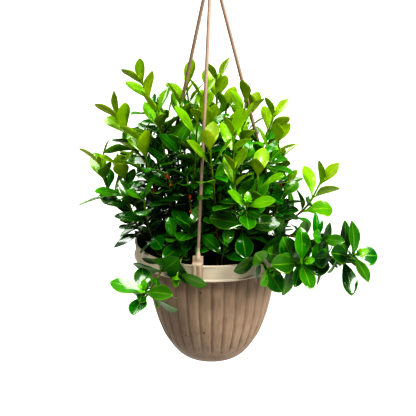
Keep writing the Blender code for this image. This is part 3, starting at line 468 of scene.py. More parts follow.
# Fine leaves and stems
LEAF_ROWS = 8
LEAF_COLUMNS = 4
LEAF_SHEET = 0.0006
LEAF_ROUNDNESS = 0.74
LEAF_SKEWS = {"sprig": 1.45, "rosette": 1.15, "low": 1.25}
LEAF_END = 0.0003
ROW_CROWDING = 1.35
FOLD_ROUNDNESS = 0.30
EDGE_WAVE = 0.035
EDGE_WAVES = (1.2, 2.2)
PUCKER = 0.00016
PUCKER_SCALE = 120.0
STALK_SIDES = 8
STALK_STEP = 0.003
NODE_SWELLING = 0.35
NODE_REACH = 0.0022
WOOD_SHARE = 1.8
WOOD_FADE = 1.9
AGE_SPREAD = 0.08

# Flower buds: stem, pair of leaves from the tip, turn round the stem and length
FLOWER_BUDS = (
    ("stem_low_left", 0, 235.0, 0.0090),
    ("stem_low_left", 1, 290.0, 0.0070),
    ("stem_low_middle", 2, 285.0, 0.0075),
    ("stem_low_middle", 3, 250.0, 0.0060),
    ("stem_right_bud", 0, 300.0, 0.0100),
    ("stem_right_bud", 0, 200.0, 0.0080),
    ("stem_left_middle", 3, 270.0, 0.0070),
)
FLOWER_SLIMNESS = 0.20
FLOWER_TILT = 30.0
FLOWER_SIDES = (12, 10)

# Small old leaves that fill in between and below a stem's pairs
FILLING_GAP = 0.011
FILLING_LENGTHS = (0.016, 0.027)
FILLING_OPENINGS = (40.0, 78.0)
FILLING_TURN = 45.0
FILLING_TURN_SPREAD = 20.0
FILLING_WIDTH = 0.50
FILLING_CURLS = (0.0, 30.0)
FILLING_FOLD = 10.0
FILLING_TWIST = 55.0
FILLING_AGES = (0.85, 1.0)

# Folded leaflets at a tip: length and opening of each pair
TIPS = {
    "sprig": ((0.0100, 14.0), (0.0060, 8.0)),
    "rosette": ((0.0075, 34.0), (0.0050, 16.0)),
    "low": ((0.0085, 18.0), (0.0055, 10.0)),
}
LEAFLET_TURN_SPREAD = 8.0
LEAFLET_LENGTHS = (0.85, 1.15)
LEAFLET_WIDTH = 0.42
LEAFLET_OPENING_SPREAD = 4.0
LEAFLET_CURL = 10.0
LEAFLET_FOLD = 22.0
LEAFLET_YOUTH = 0.1

# Each habit's kind of leaf, record slot, and how old its pairs look from the tip down: 0 is new and
# yellow-green, 1 is old and dark
LOOKS = {
    SPRIG: ("sprig", "leaf_young", (0.0, 0.30, 0.68, 0.86, 1.0, 1.0, 1.0)),
    ROSETTE: ("rosette", "leaf_bright", (0.0, 0.30, 0.78, 0.95, 1.0, 1.0, 1.0)),
    TRAILING: ("rosette", "leaf_bright", (0.10, 0.80, 0.97, 1.0, 1.0, 1.0, 1.0)),
    LOW: ("low", "leaf_dark", (0.50, 0.78, 0.92, 1.0, 1.0, 1.0, 1.0)),
}

# Camera: the photograph looks down at the rim from the front
VIEW_TARGET = (0.0, 0.0, 0.12)
VIEW_DISTANCE = 1.1
VIEW_PITCH = 20.0
FRAME_PIXELS = 416
FOCAL_PIXELS = 1100.0
SENSOR = 36.0
SHIFT_PIXELS = (-3.5, 33.0)

# Studio. A softbox is its name, place, aim, size, power and colour.
CONTRAST = "Very High Contrast"
FLOOR_HEIGHT = -0.42
FLOOR_REACH = 12.0
FLOOR_COLOUR = (225, 225, 225)
FLOOR_ROUGHNESS = 0.9
WHITE = (1.0, 1.0, 1.0, 1.0)
ROOM_COLOUR = (0.96, 0.98, 1.0, 1.0)
ROOM_STRENGTH = 0.14
SOFTBOXES = (
    ("key", (1.20, -0.58, 0.72), (0.0, 0.0, 0.12), 0.75, 23.0, (1.0, 0.98, 0.96)),
    ("back", (-0.45, 1.05, 0.85), (0.0, 0.0, 0.15), 0.80, 6.5, WHITE[:3]),
    ("top", (0.10, -0.10, 1.25), (0.0, 0.0, 0.15), 0.60, 10.0, WHITE[:3]),
    ("front", (-0.30, -0.95, 1.05), (0.0, 0.0, 0.14), 0.30, 8.0, WHITE[:3]),
)


# Nodes and finishes

def display(red, green, blue):
    """Linear colour of a display colour given from 0 to 255."""
    return tuple((channel / 255.0) ** 2.2 for channel in (red, green, blue)) + (1.0,)


def put(sockets, name, value):
    """Set a socket by name or number, or link it if the value is another node's socket."""
    socket = sockets[name]
    if isinstance(value, bpy.types.NodeSocket):
        value.id_data.links.new(value, socket)
    else:
        socket.default_value = value


def node(tree, kind, inputs=None, **settings):
    """Add a node with its settings, and set or link its inputs."""
    made = tree.nodes.new(kind)
    for name, value in settings.items():
        setattr(made, name, value)
    for name, value in (inputs or {}).items():
        put(made.inputs, name, value)
    return made


def calculate(tree, operation, first, second=0.0):
    """Output of a Math node."""
    return node(tree, "ShaderNodeMath", {0: first, 1: second}, operation=operation).outputs[0]


def between(tree, value, low, high, start=0.0, end=1.0):
    """Output that runs smoothly from start to end while the value runs from low to high."""
    inputs = {"Value": value, "From Min": low, "From Max": high, "To Min": start, "To Max": end}
    return node(tree, "ShaderNodeMapRange", inputs, interpolation_type="SMOOTHSTEP").outputs["Result"]


def times(tree, first, second):
    """Output that multiplies two values."""
    return calculate(tree, "MULTIPLY", first, second)


def plus(tree, first, second):
    """Output that adds two values."""
    return calculate(tree, "ADD", first, second)


def minus(tree, first, second):
    """Output that takes the second value from the first."""
    return calculate(tree, "SUBTRACT", first, second)


def from_to(tree, share, start, end):
    """Output that runs smoothly from start to end as a share runs from 0 to 1."""
    return between(tree, share, 0.0, 1.0, start, end)


def blend_colours(tree, factor, first, second):
    """Colour output of a Mix node."""
    return node(tree, "ShaderNodeMix", {0: factor, 6: first, 7: second}, data_type="RGBA").outputs[2]


def cloudy(tree, position, scale, detail=2.0, roughness=0.5):
    """Noise value at a position."""
    inputs = {"Vector": position, "Scale": scale, "Detail": detail, "Roughness": roughness}
    return node(tree, "ShaderNodeTexNoise", inputs).outputs["Fac"]


def marked(tree, colour, mark, strengths):
    """A colour with another laid over it by each mask at its strength."""
    for mask, strength in strengths:
        colour = blend_colours(tree, times(tree, mask, strength), colour, mark)
    return colour


def own_place(tree):
    """Position on the piece, in its own coordinates."""
    return node(tree, "ShaderNodeTexCoord").outputs["Object"]


def growth(tree):
    """Age, tint and underside of a leaf, or how woody a stem is, from the piece's own attribute."""
    colour = node(tree, "ShaderNodeAttribute", attribute_name="growth").outputs["Color"]
    return node(tree, "ShaderNodeSeparateColor", {0: colour}).outputs


def add_sockets(tree, in_out, kind, names):
    """Add named sockets of one kind to a group."""
    for name in names:
        tree.interface.new_socket(name=name, in_out=in_out, socket_type=kind)


def new_group(name, colours, numbers, results):
    """A group of named colours and numbers in, and a colour and results out; gives its tree and two ends."""
    tree = bpy.data.node_groups.new(name, "ShaderNodeTree")
    add_sockets(tree, "INPUT", "NodeSocketColor", colours)
    add_sockets(tree, "INPUT", "NodeSocketFloat", numbers)
    add_sockets(tree, "OUTPUT", "NodeSocketColor", ["Colour"])
    add_sockets(tree, "OUTPUT", "NodeSocketFloat", results)
    return tree, tree.nodes.new("NodeGroupInput").outputs, tree.nodes.new("NodeGroupOutput").inputs


def place_group(tree, group, inputs):
    """Put a group in a material with its own values, and give its outputs."""
    made = tree.nodes.new("ShaderNodeGroup")
    made.node_tree = group
    for name, value in inputs.items():
        put(made.inputs, name, value)
    return made.outputs


def new_material(name):
    """A material with its tree and its Principled shader."""
    material = bpy.data.materials.new(name)
    material.use_nodes = True
    tree = material.node_tree
    return material, tree, tree.nodes["Principled BSDF"]


def feed(tree, shader, colour, roughness, height, bump):
    """Feed a colour, a roughness and, through a Bump node, a height into a material's shader."""
    put(shader.inputs, "Base Color", colour)
    put(shader.inputs, "Roughness", roughness)
    raised = {"Height": height, "Strength": bump[0], "Distance": bump[1]}
    put(shader.inputs, "Normal", node(tree, "ShaderNodeBump", raised).outputs["Normal"])


def moulded_group():
    """Moulded plastic: paler rim band, streaks, faint grain, painted shade in the grooves and towards the
    foot, flecks.
    """
    tree, given, made = new_group(
        "moulded_plastic", ("Plastic", "Band", "Dirt"), ("Band Foot", "Fleck Size", "Dust", "Grooves"),
        ("Roughness", "Height"),
    )
    position = own_place(tree)
    x, y, rise = node(tree, "ShaderNodeSeparateXYZ", {0: position}).outputs
    clouds = cloudy(tree, position, *PLASTIC_CLOUDS)
    banded = between(tree, minus(tree, rise, given["Band Foot"]), -BAND_BLUR, BAND_BLUR)
    # Painted shade in each groove between the flutes, fading out above and below the fluted part
    turns = times(tree, calculate(tree, "ARCTAN2", y, x), float(FLUTES))
    groove = between(tree, calculate(tree, "COSINE", turns), GROOVE_EDGE, 1.0)
    groove = times(tree, groove, between(tree, rise, FLUTE_TOP + FLUTE_END, FLUTE_TOP))
    groove = times(tree, groove, between(tree, rise, FLUTE_BOTTOM - FLUTE_FADE, FLUTE_BOTTOM))
    # Painted shade, darker towards the foot
    foot = between(tree, rise, 0.5 * BAND_BOTTOM, 0.0)
    lines = node(tree, "ShaderNodeMapping", {"Vector": position, "Scale": STREAK_SCALE}).outputs[0]
    streaks = between(tree, cloudy(tree, lines, *STREAK_CLOUDS), *STREAK_RANGE)
    # Painted shade in the grooves and towards the foot, plus real streak dirt and dust, kept off the band
    dirt_and_shade = times(tree, groove, GROOVE_SHADE)
    dirt_and_shade = plus(tree, dirt_and_shade, times(tree, foot, FOOT_SHADE))
    dirt_and_shade = plus(tree, dirt_and_shade, times(tree, streaks, STREAK_DIRT))
    dirt_and_shade = times(tree, dirt_and_shade, times(tree, given["Grooves"], minus(tree, 1.0, banded)))
    dirt_and_shade = plus(tree, dirt_and_shade, times(tree, given["Dust"], between(tree, clouds, *DUST_RANGE)))
    dirt_and_shade = calculate(tree, "MINIMUM", dirt_and_shade, MOST_DIRT_AND_SHADE)
    shade = blend_colours(tree, banded, given["Plastic"], given["Band"])
    shade = blend_colours(tree, dirt_and_shade, shade, given["Dirt"])
    cells = node(tree, "ShaderNodeTexVoronoi", {"Vector": position, "Scale": FLECK_SCALE}).outputs
    chance = node(tree, "ShaderNodeSeparateColor", {0: cells["Color"]}).outputs[0]
    spot = between(tree, cells["Distance"], given["Fleck Size"], 0.0)
    fleck = times(tree, between(tree, chance, *FLECK_RANGE), spot)
    for centre, radius in STAINS:
        span = node(tree, "ShaderNodeVectorMath", {0: position, 1: centre}, operation="DISTANCE")
        stain = between(tree, span.outputs["Value"], radius, STAIN_CORE * radius)
        fleck = calculate(tree, "MAXIMUM", fleck, times(tree, stain, given["Grooves"]))
    put(made, "Colour", blend_colours(tree, fleck, shade, given["Dirt"]))
    put(made, "Roughness", between(tree, clouds, *CLOUD_RANGE, *PLASTIC_ROUGHNESS))
    put(made, "Height", cloudy(tree, position, *PLASTIC_GRAIN))
    return tree


def plastic(name, group, values):
    """One colour of the moulded plastic."""
    material, tree, shader = new_material(name)
    surface = place_group(tree, group, values)
    feed(tree, shader, surface["Colour"], surface["Roughness"], surface["Height"], PLASTIC_BUMP)
    return material


def leaf_group():
    """A leaf's skin: young to old colour, pale midrib and edge, side veins, duller pale underside."""
    tree, given, made = new_group(
        "leaf_skin", ("Young", "Old", "Rib", "Young Underside", "Old Underside"), ("Edge",),
        ("Roughness", "Height", "Wax"),
    )
    age, tint, under = growth(tree)
    flat = node(tree, "ShaderNodeUVMap", uv_map="leaf_map").outputs["UV"]
    across, along, _ = node(tree, "ShaderNodeSeparateXYZ", {0: flat}).outputs
    position = own_place(tree)

    side = times(tree, calculate(tree, "ABSOLUTE", minus(tree, across, 0.5)), 2.0)
    rib = between(tree, side, RIB_SHARE, 0.0)
    slant = minus(tree, times(tree, along, VEINS), times(tree, side, VEIN_SLANT))
    stripe = calculate(tree, "ABSOLUTE", minus(tree, calculate(tree, "FRACT", slant), 0.5))
    vein = times(tree, between(tree, stripe, VEIN_SHARE, 0.0), between(tree, side, 1.0, VEIN_END))
    tip = between(tree, along, TIP_START, 1.0)
    edge = calculate(tree, "MAXIMUM", between(tree, side, EDGE_START, 1.0), tip)

    upper = blend_colours(tree, age, given["Young"], given["Old"])
    marks = ((rib, UPPER_RIB), (vein, UPPER_VEINS), (edge, given["Edge"]))
    upper = marked(tree, upper, given["Rib"], marks)
    lower = blend_colours(tree, age, given["Young Underside"], given["Old Underside"])
    lower = marked(tree, lower, given["Rib"], ((rib, LOWER_RIB), (vein, LOWER_VEINS)))
    skin = blend_colours(tree, under, upper, lower)

    patches = cloudy(tree, position, *LEAF_PATCHES)
    light = times(tree, between(tree, patches, *PATCH_LIGHT), from_to(tree, tint, *TINT_LIGHT))
    hue = from_to(tree, tint, *TINT_HUE)
    shifted = node(tree, "ShaderNodeHueSaturation", {"Hue": hue, "Value": light, "Color": skin})
    put(made, "Colour", shifted.outputs["Color"])

    wet = plus(tree, from_to(tree, age, *AGE_ROUGHNESS), between(tree, patches, *PATCH_ROUGHNESS))
    put(made, "Roughness", plus(tree, wet, times(tree, under, UNDERSIDE_ROUGHNESS)))
    put(made, "Wax", from_to(tree, under, 1.0, UNDERSIDE_WAX))

    quilt = times(tree, cloudy(tree, position, QUILT_SCALE), QUILT_HEIGHT)
    sunk = plus(tree, rib, times(tree, vein, VEIN_DEPTH))
    put(made, "Height", plus(tree, quilt, times(tree, sunk, from_to(tree, under, -1.0, 1.0))))
    return tree


def leaf_skin(kind, group):
    """The finish of one kind of leaf, with its own colours and wax shine."""
    young, old, young_under, old_under, edge, gloss = LEAF_SKINS[kind]
    material, tree, shader = new_material(f"{kind}_leaf")
    surface = place_group(tree, group, {
        "Young": display(*young), "Old": display(*old), "Rib": display(*RIB_COLOUR),
        "Young Underside": display(*young_under), "Old Underside": display(*old_under), "Edge": edge})
    feed(tree, shader, surface["Colour"], surface["Roughness"], surface["Height"], LEAF_BUMP)
    put(shader.inputs, "Coat Weight", times(tree, surface["Wax"], gloss))
    put(shader.inputs, "Coat Roughness", WAX_ROUGHNESS)
    put(shader.inputs, "Specular IOR Level", LEAF_SPECULAR)
    return material


def stem_bark():
    """Stems: brown and woody at the foot, yellow-green at the tip."""
    material, tree, shader = new_material("stem_bark")
    mottle = cloudy(tree, own_place(tree), *BARK_CLOUDS)
    spots = between(tree, mottle, *BARK_SPOTS)
    wood = blend_colours(tree, spots, display(78, 50, 26), display(132, 96, 58))
    green = blend_colours(tree, spots, display(82, 116, 14), display(120, 152, 30))
    colour = blend_colours(tree, growth(tree)[0], green, wood)
    feed(tree, shader, colour, between(tree, mottle, *CLOUD_RANGE, *BARK_ROUGHNESS), mottle, BARK_BUMP)
    return material


def peat(name, dark, light):
    """Crumbly peat with a few browner bits."""
    material, tree, shader = new_material(name)
    position = own_place(tree)
    clumps = cloudy(tree, position, *PEAT_CLUMPS)
    height = plus(tree, clumps, times(tree, cloudy(tree, position, *PEAT_GRIT), GRIT_SHARE))
    colour = blend_colours(tree, between(tree, clumps, *PEAT_BITS), display(*dark), display(*light))
    feed(tree, shader, colour, between(tree, clumps, *CLOUD_RANGE, *PEAT_ROUGHNESS), height, PEAT_BUMP)
    return material


def petal_bud():
    """Small flower buds, orange shading to red."""
    material, tree, shader = new_material("flower_bud")
    flush = between(tree, cloudy(tree, own_place(tree), PETAL_SCALE), *PETAL_FLUSH)
    colour = blend_colours(tree, flush, display(214, 60, 20), display(236, 140, 44))
    put(shader.inputs, "Base Color", colour)
    put(shader.inputs, "Roughness", from_to(tree, flush, *PETAL_ROUGHNESS))
    return material


def make_materials():
    """Every finish of the object, by name."""
    moulded = moulded_group()
    skin = leaf_group()
    finishes = {
        # The pot's dark colour paints its streaks, dust and flecks, and also the painted shade in its
        # grooves and towards its foot
        "pot": plastic("pot_taupe", moulded, {
            "Plastic": display(146, 126, 105), "Band": display(189, 178, 158), "Dirt": display(66, 48, 34),
            "Band Foot": BAND_BOTTOM, "Fleck Size": 0.16, "Dust": 0.16, "Grooves": 1.0}),
        "hanger": plastic("hanger_beige", moulded, {
            "Plastic": display(166, 150, 132), "Band": display(140, 120, 106), "Dirt": display(104, 74, 56),
            "Band Foot": CLIP_TOP + SOCKET_HEIGHT, "Fleck Size": 0.05, "Dust": 0.20, "Grooves": 0.0}),
        "soil": peat("peat_bed", (20, 14, 10), (58, 40, 26)),
        "crumb": peat("peat_crumb", (26, 18, 12), (74, 50, 30)),
        "speck": peat("bark_speck", (92, 66, 38), (150, 116, 70)),
        "bark": stem_bark(),
        "bud": petal_bud(),
    }
    for kind in LEAF_SKINS:
        finishes[kind] = leaf_skin(kind, skin)
    return finishes


# Lines of the pot, the strands and the stems

def bowl_radius(height):
    """Outer radius of the bowl below the rim band, without its flutes."""
    rise = height / BAND_BOTTOM
    spread = (1.0 - (1.0 - rise) ** BOWL_FULLNESS) ** (1.0 / BOWL_FLARE)
    return FOOT_RADIUS + (SHOULDER_RADIUS - FOOT_RADIUS) * spread


def clamped(value):
    """The value, kept between 0 and 1."""
    return min(1.0, max(0.0, value))


def up(height):
    """A vector straight up."""
    return Vector((0.0, 0.0, height))


def soil_height(radius):
    """Height of the soil's gently mounded top at this radius."""
    share = min(1.0, radius / RIM_RADIUS)
    return SOIL_CROWN + (SOIL_EDGE - SOIL_CROWN) * share * share


def azimuth_frame(degrees):
    """Unit vectors outward and sideways for an azimuth counted from the front towards +X."""
    turn = math.radians(degrees)
    outward = Vector((math.sin(turn), -math.cos(turn), 0.0))
    sideways = Vector((math.cos(turn), math.sin(turn), 0.0))
    return outward, sideways


def ring_corners(points, radii, sides, turn=0.0):
    """Corners of a tube's rings, from foot to tip."""
    rings = []
    for point, radius, (along, right) in zip(points, radii, transported_frames(points)):
        ahead = along.cross(right)
        ring = []
        for angle in corner_turns(sides):
            offset = right * math.cos(angle + turn) + ahead * math.sin(angle + turn)
            ring.append(point + offset * radius)
        rings.append(ring)
    return rings


def corner_turns(sides):
    """Angles of the corners of a regular section, with flat sides along the axes."""
    return [math.pi / sides + 2.0 * math.pi * number / sides for number in range(sides)]


def transported_frames(points):
    """Heading and right-hand vector at each point, carried along without twist from world +X."""
    frames = []
    right = Vector((1.0, 0.0, 0.0))
    for number in range(len(points)):
        before = points[max(number - 1, 0)]
        after = points[min(number + 1, len(points) - 1)]
        along = (after - before).normalized()
        right = (right - along * right.dot(along)).normalized()
        frames.append((along, right))
    return frames


def strand_ends(degrees):
    """Lower and upper end of the strand at this azimuth."""
    outward, _ = azimuth_frame(degrees)
    return outward * STRAND_FOOT_RADIUS + up(STRAND_FOOT_HEIGHT), up(APEX_HEIGHT)


def strand_line(degrees):
    """Points along a strand, as close together as those of a stem's line."""
    foot, apex = strand_ends(degrees)
    steps = round((apex - foot).length / ROUTE_STEP)
    return [foot.lerp(apex, step / steps) for step in range(steps + 1)]


def stem_foot(stem):
    """Lower end of a stem, in its hole in the soil and clear of the pot's wall."""
    radius = math.hypot(*stem.foot)
    inward = min(1.0, FOOT_REACH / radius)
    foot_height = soil_height(radius * inward) - HOLE_DEPTH
    return Vector((stem.foot[0] * inward, stem.foot[1] * inward, foot_height))


def smooth_route(stem, shift):
    """The stem's centre line from its foot: straight up out of the soil, then through its points."""
    foot = stem_foot(stem)
    start = foot + up(HOLE_DEPTH + STRAIGHT_RISE)
    marks = [start] + [Vector(point) for point in stem.route]
    for number in range(1, len(marks) - 1):
        marks[number] += shift
    slopes = [up((marks[1] - marks[0]).length)]
    for before, after in zip(marks, marks[2:]):
        slopes.append((after - before) * 0.5)
    slopes.append(marks[-1] - marks[-2])
    line = [foot, start]
    for number in range(len(marks) - 1):
        steps = max(2, round((marks[number + 1] - marks[number]).length / ROUTE_STEP))
        for step in range(1, steps + 1):
            line.append(hermite(marks[number:number + 2], slopes[number:number + 2], step / steps))
    return line


def hermite(ends, slopes, share):
    """Point on the cubic between two points with given slopes."""
    square = share * share
    cube = square * share
    return (
        ends[0] * (2.0 * cube - 3.0 * square + 1.0)
        + slopes[0] * (cube - 2.0 * square + share)
        + ends[1] * (3.0 * square - 2.0 * cube)
        + slopes[1] * (cube - square)
    )


def clear_route(stem, earlier):
    """The stem's line, moved sideways in widening circles until it clears the stems before it."""
    reach = 2.0 * STEM_FOOT_RADIUS + ROUTE_CLEARANCE
    line = None
    for trial in range(ROUTE_TRIALS):
        turn = trial * TURN_STEP
        shift = Vector((math.cos(turn), math.sin(turn), 0.0)) * (ROUTE_SHIFT * math.sqrt(trial))
        line = smooth_route(stem, shift)
        if not any(lines_meet(line, other, reach) for other in earlier):
            return line
    return line


def lines_meet(line, other, reach):
    """True if two sampled lines come closer than reach."""
    return any((point - mark).length < reach for point in line[::2] for mark in other)


def distances(line):
    """Length along the line up to each of its points."""
    lengths = [0.0]
    for before, after in zip(line, line[1:]):
        lengths.append(lengths[-1] + (after - before).length)
    return lengths


def point_at(line, lengths, distance):
    """Point on the line, its heading and its right-hand vector at a distance from the foot."""
    frames = transported_frames(line)
    number = 1
    while number < len(line) - 1 and lengths[number] < distance:
        number += 1
    span = lengths[number] - lengths[number - 1]
    share = (distance - lengths[number - 1]) / span
    along, right = frames[number]
    return line[number - 1].lerp(line[number], share), along, right


def leaf_places(stem, line):
    """Distance from the foot of each pair of leaves, from the tip down."""
    places = []
    distance = distances(line)[-1]
    for gap in stem.habit.gaps[:stem.pairs]:
        distance -= gap
        if distance > HOLE_DEPTH + LOWEST_LEAF:
            places.append(distance)
    return places


def stem_radius(share):
    """Stem radius at a share of its length, thickest at the foot."""
    return STEM_FOOT_RADIUS + (STEM_TIP_RADIUS - STEM_FOOT_RADIUS) * share


def stem_marks(stem, line):
    """Distances from the foot of the stem's rings: foot, bare length, then two at each pair of leaves."""
    places = sorted(leaf_places(stem, line))
    start = HOLE_DEPTH + STRAIGHT_RISE
    bare = places[0] - NODE_HALF_HEIGHT - start
    pieces = max(1, math.ceil(bare / BARE_STEP))
    marks = [0.0] + [start + bare * step / pieces for step in range(pieces)]
    for place in places:
        marks += [place - NODE_HALF_HEIGHT, place + NODE_HALF_HEIGHT]
    return marks


def stem_points(stem, line):
    """Centres of the stem's rings from its foot to the shoulder of its end bud, then the bud's point."""
    lengths = distances(line)
    points = [point_at(line, lengths, mark)[0] for mark in stem_marks(stem, line)]
    tip, along, _ = point_at(line, lengths, lengths[-1])
    return points + [tip + along * BUD_LENGTH * BUD_SHOULDER, tip + along * BUD_LENGTH]


def stem_rings(stem, line):
    """Corners of the stem's rings, from its foot to the shoulder of its end bud."""
    total = distances(line)[-1]
    radii = [stem_radius(mark / total) * STEM_SPREAD for mark in stem_marks(stem, line)]
    radii.append(BUD_RADIUS * STEM_SPREAD)
    return ring_corners(stem_points(stem, line)[:-1], radii, STEM_SIDES, math.radians(stem.turn))


# Leaves and what they keep clear of

def node_face(rings, number, side):
    """Corners of the stem's face that a leaf of this pair and side grows from."""
    upper = rings[-2 * (number + 1)]
    lower = rings[-2 * (number + 1) - 1]
    first = (number + 2 * side) % STEM_SIDES
    start = (first + STEM_SIDES - 1) % STEM_SIDES
    return lower[start], lower[first], upper[first], upper[start]


def blade_root(corners):
    """The face's corners in the order of a blade's section: left, upper, right and lower."""
    near_left, near_right, far_right, far_left = corners
    return [far_right, far_left, near_left, near_right]


def band(ring, following):
    """Triangles between two sections of a blade, split alike on its upper and its lower side."""
    triangles = []
    for number in range(4):
        a, b = ring[number], ring[(number + 1) % 4]
        c, d = following[(number + 1) % 4], following[number]
        triangles += ((a, b, c), (a, c, d)) if number % 2 else ((a, b, d), (b, c, d))
    return triangles


def leaf_pose(leaf, share):
    """Centre, heading, upper normal and cross direction of the blade at a share of its length."""
    start = math.radians(leaf.opening)
    bend = math.radians(leaf.curl)
    angle = start + bend * share
    if abs(bend) < LEAST_BEND:
        forward = math.cos(start) * share
        sideways = math.sin(start) * share
    else:
        forward = (math.sin(angle) - math.sin(start)) / bend
        sideways = (math.cos(start) - math.cos(angle)) / bend
    centre = leaf.root + (leaf.along * forward + leaf.aside * sideways) * leaf.length
    heading = leaf.along * math.cos(angle) + leaf.aside * math.sin(angle)
    upper = leaf.along * math.sin(angle) - leaf.aside * math.cos(angle)
    across = heading.cross(upper)
    turn = Matrix.Rotation(math.radians(leaf.twist) * share, 3, heading)
    return centre, heading, turn @ upper, turn @ across


def leaf_on(line, distance, turn, **shape):
    """A leaf that grows from a stem at a distance from its foot, turned round it by so many degrees."""
    root, along, right = point_at(line, distances(line), distance)
    aside = Matrix.Rotation(math.radians(turn), 3, along) @ right
    return Leaf(root=root, along=along, aside=aside, **shape)


def oval(leaf, share, skew, fullness):
    """Half width of the blade without its stalk: an oval that is widest past its middle."""
    blade = max(0.0, (share - STALK_SHARE) / (1.0 - STALK_SHARE))
    rounded = math.sin(math.pi * blade ** skew) ** fullness if 0.0 < blade < 1.0 else 0.0
    return 0.5 * leaf.width * rounded


def leaf_section(leaf, share, spare):
    """Left edge, upper middle, right edge and lower middle of the blade, grown all round by spare."""
    centre, _, upper, across = leaf_pose(leaf, share)
    reach = max(STALK_HALF_WIDTH, oval(leaf, share, OVAL_SKEW, OVAL_FULLNESS)) + spare
    lift = upper * (math.tan(math.radians(leaf.fold)) * reach)
    thick = upper * (0.5 * LEAF_THICKNESS + spare)
    return centre - across * reach + lift, centre + thick, centre + across * reach + lift, centre - thick


def blade_hull(leaf, spare):
    """Vertices and faces of the blade alone, for crossing tests."""
    vertices = blade_root(leaf.face) if leaf.face else list(leaf_section(leaf, STALK_SHARE, 0.0))
    faces = []
    for share in SMALL_STATIONS if leaf.length < SMALL_LEAF else LARGE_STATIONS:
        low = len(vertices) - 4
        vertices += leaf_section(leaf, share, spare)
        faces += band(range(low, low + 4), range(low + 4, low + 8))
    low = len(vertices) - 4
    tip, heading, _, _ = leaf_pose(leaf, 1.0)
    vertices.append(tip + heading * spare)
    faces += [(low + number, low + (number + 1) % 4, low + 4) for number in range(4)]
    return vertices, faces


def tree_of(vertices, faces):
    """Search tree for crossing tests, with the middle and reach of its box."""
    low = Vector([min(v[axis] for v in vertices) for axis in range(3)])
    high = Vector([max(v[axis] for v in vertices) for axis in range(3)])
    return BVHTree.FromPolygons(vertices, faces), (low + high) * 0.5, (high - low).length * 0.5


def tube_faces(rings):
    """Faces between so many rings of a stem's corners."""
    faces = []
    for low in range(0, (rings - 1) * STEM_SIDES, STEM_SIDES):
        for number in range(STEM_SIDES):
            a = low + number
            b = low + (number + 1) % STEM_SIDES
            faces.append((a, b, b + STEM_SIDES, a + STEM_SIDES))
    return faces


def line_tree(line, radius):
    """Search tree of an open four-sided tube round a line of points."""
    rings = ring_corners(line, [radius] * len(line), STEM_SIDES)
    return tree_of([corner for ring in rings for corner in ring], tube_faces(len(rings)))


def meets(tree, others):
    """True if a piece crosses any of the others."""
    shape, centre, reach = tree
    for other, middle, extent in others:
        if (centre - middle).length < reach + extent and shape.overlap(other):
            return True
    return False


def in_pot(point):
    """True if a point would be in the pot, its rim, its clips or the soil, with a little clearance."""
    radius = math.hypot(point.x, point.y)
    clip_radii = [corner[0] for corner in CLIP_OUTLINE]
    if radius < min(clip_radii):
        return point.z < soil_height(radius) + POT_CLEARANCE
    if radius < max(clip_radii) + POT_CLEARANCE:
        return point.z < POT_HEIGHT + POT_CLEARANCE or (point.z < CLIP_TOP and near_clip(point))
    return point.z < BAND_BOTTOM and radius < bowl_radius(max(0.0, point.z)) + BOWL_CLEARANCE


def near_clip(point):
    """True if a point is beside one of the clips' centre lines."""
    for degrees in STRAND_AZIMUTHS:
        outward, sideways = azimuth_frame(degrees)
        if point.dot(outward) > 0.0 and abs(point.dot(sideways)) < 0.5 * CLIP_WIDTH + POT_CLEARANCE:
            return True
    return False


def leaf_fits(leaf, others):
    """True if a blade clears the pot, the strands and everything placed before it."""
    for step in range(1, POT_TESTS + 1):
        left, _, right, lower = leaf_section(leaf, step / POT_TESTS, LEAF_CLEARANCE)
        if in_pot(left) or in_pot(right) or in_pot(lower):
            return False
    return not meets(tree_of(*blade_hull(leaf, LEAF_CLEARANCE)), others)


def stem_wall(stem, line):
    """Vertices and faces of a stem's wall and end bud."""
    rings = stem_rings(stem, line)
    corners = [corner for ring in rings for corner in ring]
    end = len(corners)
    last = end - STEM_SIDES
    faces = tube_faces(len(rings))
    faces += [(last + number, last + (number + 1) % STEM_SIDES, end) for number in range(STEM_SIDES)]
    return corners + [stem_points(stem, line)[-1]], faces


def folds_into_stem(leaf, wall):
    """True if a blade crosses itself or its own stem, apart from the faces it shares a corner with."""
    vertices, faces = blade_hull(leaf, 0.0)
    low = len(wall[0])
    vertices = wall[0] + vertices
    faces = wall[1] + [tuple(low + corner for corner in face) for face in faces]
    shape = BVHTree.FromPolygons(vertices, faces)
    for first, second in shape.overlap(shape):
        near = min((vertices[a] - vertices[b]).length for a in faces[first] for b in faces[second])
        if near > SAME_POINT:
            return True
    return False


def turned_leaf(leaf, degrees, opening, scale):
    """The same leaf swung round its stem, opened further and scaled."""
    swing = Matrix.Rotation(math.radians(degrees), 3, leaf.along)
    return leaf._replace(
        aside=swing @ leaf.aside,
        opening=max(LEAST_OPENING, leaf.opening + opening),
        length=leaf.length * scale,
        width=leaf.width * scale,
    )


def place_leaf(leaf, others, wall=None):
    """The leaf alone in a list, in the first of its trial positions that is clear, or an empty list."""
    for trial in TRIALS:
        candidate = turned_leaf(leaf, *trial)
        if leaf_fits(candidate, others) and not (wall and folds_into_stem(candidate, wall)):
            others.append(tree_of(*blade_hull(candidate, 0.0)))
            return [candidate]
    return []


